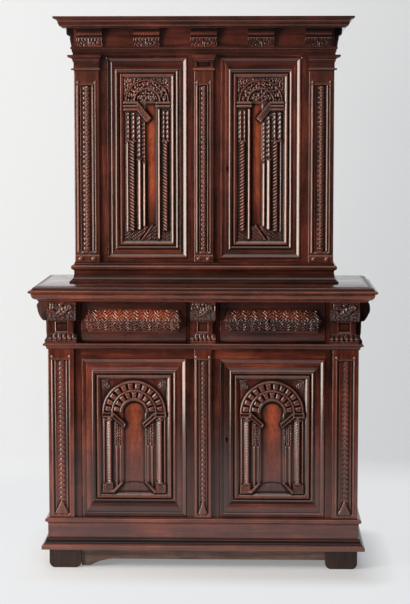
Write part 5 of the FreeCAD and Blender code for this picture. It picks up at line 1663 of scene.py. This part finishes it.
def capitals(finish: bpy.types.Material) -> None:
    """Build the three capitals of the upper stage."""
    capital, inner, corner = Capital(), 8.0, UPPER.half - 93.0
    outer = capital.overhang
    parts = [capital.made("capital_left", -UPPER.half, -corner, (outer, inner)),
             capital.made("capital_centre", -36, 36, (inner, inner)),
             capital.made("capital_right", corner, UPPER.half, (inner, outer))]
    relief = Relief(np.linspace(-34, 34, 52), np.linspace(0, 28, 24), 5.0)
    relief.lay(in_box(relief.u, relief.v, -25, 25, 5, 23), 0.5, 2.0)
    patch = Patch((0.0, UPPER.face - 1.0, capital.level + 10))
    grime = np.clip(relief.grime(1.3) + 0.2, -1, 1)
    parts.append(slab("capital_block", patch, relief, 0.0, Grain.LEVEL, grime))
    plant("walnut_pilaster_capitals", Surface.joined(parts), finish, Crease.MOULDED, "carcass",
          "pilaster_capitals")


# CAD nodes that keep their shape

UPRIGHT_NODES = ("lower_front_posts", "upper_front_posts", "lower_rear_posts", "upper_rear_posts",
                 "side_panels", "feet")
DEEP_NODES = ("side_rails", "shelf_cleats", "drawer_runners", "left_drawer_box", "right_drawer_box")
INNER_NODES = ("lower_floor", "upper_floor", "lower_shelf", "upper_shelf", "shelf_cleats", "drawer_runners",
               "left_drawer_box", "right_drawer_box")
OWN_FINISH = {"lower_front_posts": SHADED_POST_WALNUT, "feet": FLOOR_WALNUT, "front_apron": APRON_WALNUT,
              "side_panels": SIDE_WALNUT, "side_rails": SIDE_WALNUT, "lower_rear_posts": SIDE_WALNUT,
              "upper_rear_posts": SIDE_WALNUT, "upper_top_board": SIDE_WALNUT}
IRON_WORDS = ("pivots", "lock")


def dress_nodes(nodes: dict[str, bpy.types.Object]) -> None:
    """Give every CAD node a finish by what it is made of and the way its boards run."""
    made: dict[tuple[str, Grain], bpy.types.Material] = {}
    iron = Iron().made()
    for name, node in nodes.items():
        wood = INNER if name in INNER_NODES else OWN_FINISH.get(name, WALNUT)
        grain = Grain.UPRIGHT if name in UPRIGHT_NODES else Grain.DEEP if name in DEEP_NODES else Grain.LEVEL
        is_iron = any(word in name for word in IRON_WORDS)
        if not is_iron and (wood.name, grain) not in made:
            made[wood.name, grain] = wood.made(grain)
        node.data.materials.clear()
        node.data.materials.append(iron if is_iron else made[wood.name, grain])


# Set, light and camera

@dataclass(frozen=True)
class Lamp:
    """A rectangular soft light, in metres and watts, that faces a target."""

    name: str
    place: tuple[float, float, float]
    target: tuple[float, float, float]
    size: tuple[float, float]
    power: float
    colour: str

    def hang(self) -> None:
        """Add the light to the scene."""
        data = bpy.data.lights.new(self.name, "AREA")
        data.shape = "RECTANGLE"
        data.size, data.size_y = self.size
        data.energy = self.power
        data.color = linear(self.colour)[:3]
        lamp = bpy.data.objects.new(self.name, data)
        way = np.subtract(self.target, self.place)
        level = math.hypot(way[0], way[1])
        lamp.rotation_euler = (math.atan2(level, -way[2]), 0.0, math.atan2(-way[0], way[1]))
        lamp.location = self.place
        bpy.context.scene.collection.objects.link(lamp)


LAMPS = (
    Lamp("tall_softbox", (-2.7, -2.1, 1.4), (0.0, -0.1, 1.1), (1.4, 2.8), 165.0, "#FFF4E8"),
    Lamp("high_fill", (-0.6, -2.4, 4.7), (0.0, 0.0, 1.0), (4.0, 3.0), 95.0, "#FFF8F0"),
    Lamp("wall_wash", (-2.6, 0.2, 3.4), (-0.6, 1.45, 1.2), (1.6, 1.6), 36.0, "#FFFFFF"),
)


@dataclass(frozen=True)
class Studio:
    """A pale floor that curves up into a wall, the air and the camera, in metres.

    Camera rays see the paint lifted towards an even glow, less near the object's footprint, so that
    its shadow stays, and less on the wall. Away from the pool of floor round the object, light that
    bounces meets a dimmer paint.
    """

    wall: float = 1.45
    wall_top: float = 7.0
    cove: float = 0.12
    width: float = 40.0
    pool: tuple[float, float] = (1.4, 3.6)
    dim_colour: str = "#4E4E4E"
    floor_colour: str = "#D5D8DB"
    glow_colour: str = "#EBEDEF"
    far_colour: str = "#DEDEDD"
    air_colour: str = "#E8ECF0"
    air_strength: float = 0.12
    footprint: tuple[float, float, float] = (0.56, 0.33, 0.0)
    contact: float = 0.16
    glow: tuple[float, float] = (0.3, 0.85)
    wall_glow: float = 0.75
    wall_foot: float = 0.1
    camera_place: tuple[float, float, float] = (0.200, -6.730, 1.649)
    pitch: float = 5.70
    yaw: float = 1.69
    focal_pixels: float = 1784.6
    image_height: float = 604.0

    def paint(self) -> bpy.types.Material:
        """Build the backdrop's matt paint and return it; from behind it can't be seen."""
        material = bpy.data.materials.new("painted_backdrop")
        add = partial(add_node, emptied(material))
        place = add("TexCoord").outputs["Object"]
        level = add("SeparateXYZ", {0: place}).outputs["Z"]
        ray = add("LightPath").outputs

        # How far a point lies from the middle, across and in front, and how far outside the footprint
        ahead = add("VectorMath", {"operation": "MINIMUM", 0: place, 1: (99.0, 0.0, 0.0)})
        outside = add("VectorMath", {"operation": "ABSOLUTE", 0: place})
        for operation, other in (("SUBTRACT", self.footprint), ("MAXIMUM", (0.0, 0.0, 0.0))):
            outside = add("VectorMath", {"operation": operation, 0: outside.outputs[0], 1: other})
        reach, away = [add("VectorMath", {"operation": "LENGTH", 0: way.outputs[0]}).outputs["Value"]
                       for way in (ahead, outside)]
        fade, close, high = [
            add("MapRange", {"interpolation_type": kind, "Value": value, "From Min": source[0],
                             "From Max": source[1], "To Min": result[0], "To Max": result[1]}).outputs[0]
            for kind, value, source, result in (
                ("SMOOTHSTEP", reach, self.pool, (1.0, 0.0)),
                ("LINEAR", away, (0.0, self.contact), self.glow),
                ("LINEAR", level, (0.0, self.wall_foot), (1.0, self.wall_glow)))]
        pale = add("Math", {"operation": "MAXIMUM", 0: fade, 1: ray["Is Camera Ray"]}).outputs[0]
        share = ray["Is Camera Ray"]
        for operation, other in (("MAXIMUM", ray["Is Glossy Ray"]), ("MAXIMUM", ray["Is Transmission Ray"]),
                                 ("MULTIPLY", close), ("MULTIPLY", high), ("MULTIPLY", pale)):
            share = add("Math", {"operation": operation, 0: share, 1: other}).outputs[0]
        tint = add("Mix", {"data_type": "RGBA", 0: pale, 6: linear(self.dim_colour),
                           7: linear(self.floor_colour)}).outputs[2]
        shader = add("BsdfPrincipled", {"Base Color": tint, "Roughness": 0.85, "Specular IOR Level": 0.2})
        glow = add("Emission", {"Color": linear(self.glow_colour)})
        behind = add("NewGeometry").outputs["Backfacing"]
        for factor, other in ((share, glow), (behind, add("BsdfTransparent"))):
            shader = add("MixShader", {0: factor, 1: shader.outputs[0], 2: other.outputs[0]})
        add("OutputMaterial", {"Surface": shader.outputs[0]})
        return material

    def backdrop(self) -> None:
        """Build the floor and wall as one sheet: a profile of floor, quarter round and wall."""
        turn = np.linspace(0, math.pi / 2, 24)
        cove = np.stack([self.wall + self.cove * (np.sin(turn) - 1), self.cove * (1 - np.cos(turn))], axis=1)
        line = np.concatenate([[[-self.width / 2, 0.0]], cove, [[self.wall, self.wall_top]]])
        across = np.linspace(-self.width / 2, self.width / 2, 12)
        x, index = np.meshgrid(across, np.arange(len(line)))
        points = np.stack([x, line[index, 0], line[index, 1]], axis=-1).reshape(-1, 3)
        mesh = bpy.data.meshes.new("studio_backdrop")
        mesh.from_pydata(points.tolist(), [], grid_quads(len(line), len(across)).tolist())
        mesh.polygons.foreach_set("use_smooth", np.ones(len(mesh.polygons), bool))
        mesh.materials.append(self.paint())
        backdrop = bpy.data.objects.new("studio_backdrop", mesh)
        bpy.context.scene.collection.objects.link(backdrop)

    def air(self) -> None:
        """Set the world: a weak even light, and pale where a camera ray misses the backdrop."""
        world = bpy.data.worlds.new("studio_air")
        add = partial(add_node, emptied(world))
        weak, far = [add("Background", {"Color": linear(code), "Strength": strength}).outputs[0]
                     for code, strength in ((self.air_colour, self.air_strength), (self.far_colour, 1.0))]
        both = add("MixShader", {0: add("LightPath").outputs["Is Camera Ray"], 1: weak, 2: far})
        add("OutputWorld", {"Surface": both.outputs[0]})
        bpy.context.scene.world = world

    def camera(self) -> None:
        """Stand the camera where the photograph was taken from."""
        data = bpy.data.cameras.new("studio_camera")
        data.sensor_width = 36.0
        data.lens = data.sensor_width * self.focal_pixels / self.image_height
        camera = bpy.data.objects.new("studio_camera", data)
        camera.location = self.camera_place
        camera.rotation_euler = (math.radians(90 - self.pitch), 0.0, math.radians(self.yaw))
        bpy.context.scene.collection.objects.link(camera)
        bpy.context.scene.camera = camera
        bpy.context.scene.view_settings.view_transform = "Standard"


def main() -> None:
    """Load the frame, dress the nodes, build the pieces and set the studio."""
    logging.basicConfig(level=logging.INFO, format="%(name)s: %(message)s")
    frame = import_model()
    dress_nodes(frame["nodes"])
    walnut = WALNUT.made()
    for moulding in MOULDINGS:
        moulding.made(walnut)
    boards(walnut)
    back_boards()
    panels = (VoussoirPanel(LOWER, border=24.0, border_high=21.0, spring=306.0),
              LeafPanel(UPPER, border=20.0, border_high=20.0, spring=517.0))
    for side in SIDES:
        for panel in panels:
            panel.made(side, walnut)
            DoorFrame(panel.stage).made(side, walnut)
            DoorBead().made(panel.stage, side, walnut)
        Cushion().made(side, walnut)
    Pilasters(LOWER, (190.0, WAIST_BEAD), 96.0, 64.0, foot_block=0.0, sink=3.0, swell=3.4, fillet=1.3,
              inner_fillet=9.0, tongue=52.0, head_gap=40.0, full_dirt_and_shade=1.5).made(walnut)
    Pilasters(UPPER, (1135.0, CAPITAL_LEVEL), 93.0, 72.0, foot_block=26.0, sink=5.5, swell=9.0, fillet=3.2,
              beads=5.0, inner_fillet=7.0, rub_and_highlight=0.35).made(walnut)
    consoles(walnut)
    brackets(walnut)
    capitals(walnut)
    studio = Studio()
    studio.backdrop()
    for lamp in LAMPS:
        lamp.hang()
    studio.air()
    studio.camera()


if __name__ == "__main__":
    main()
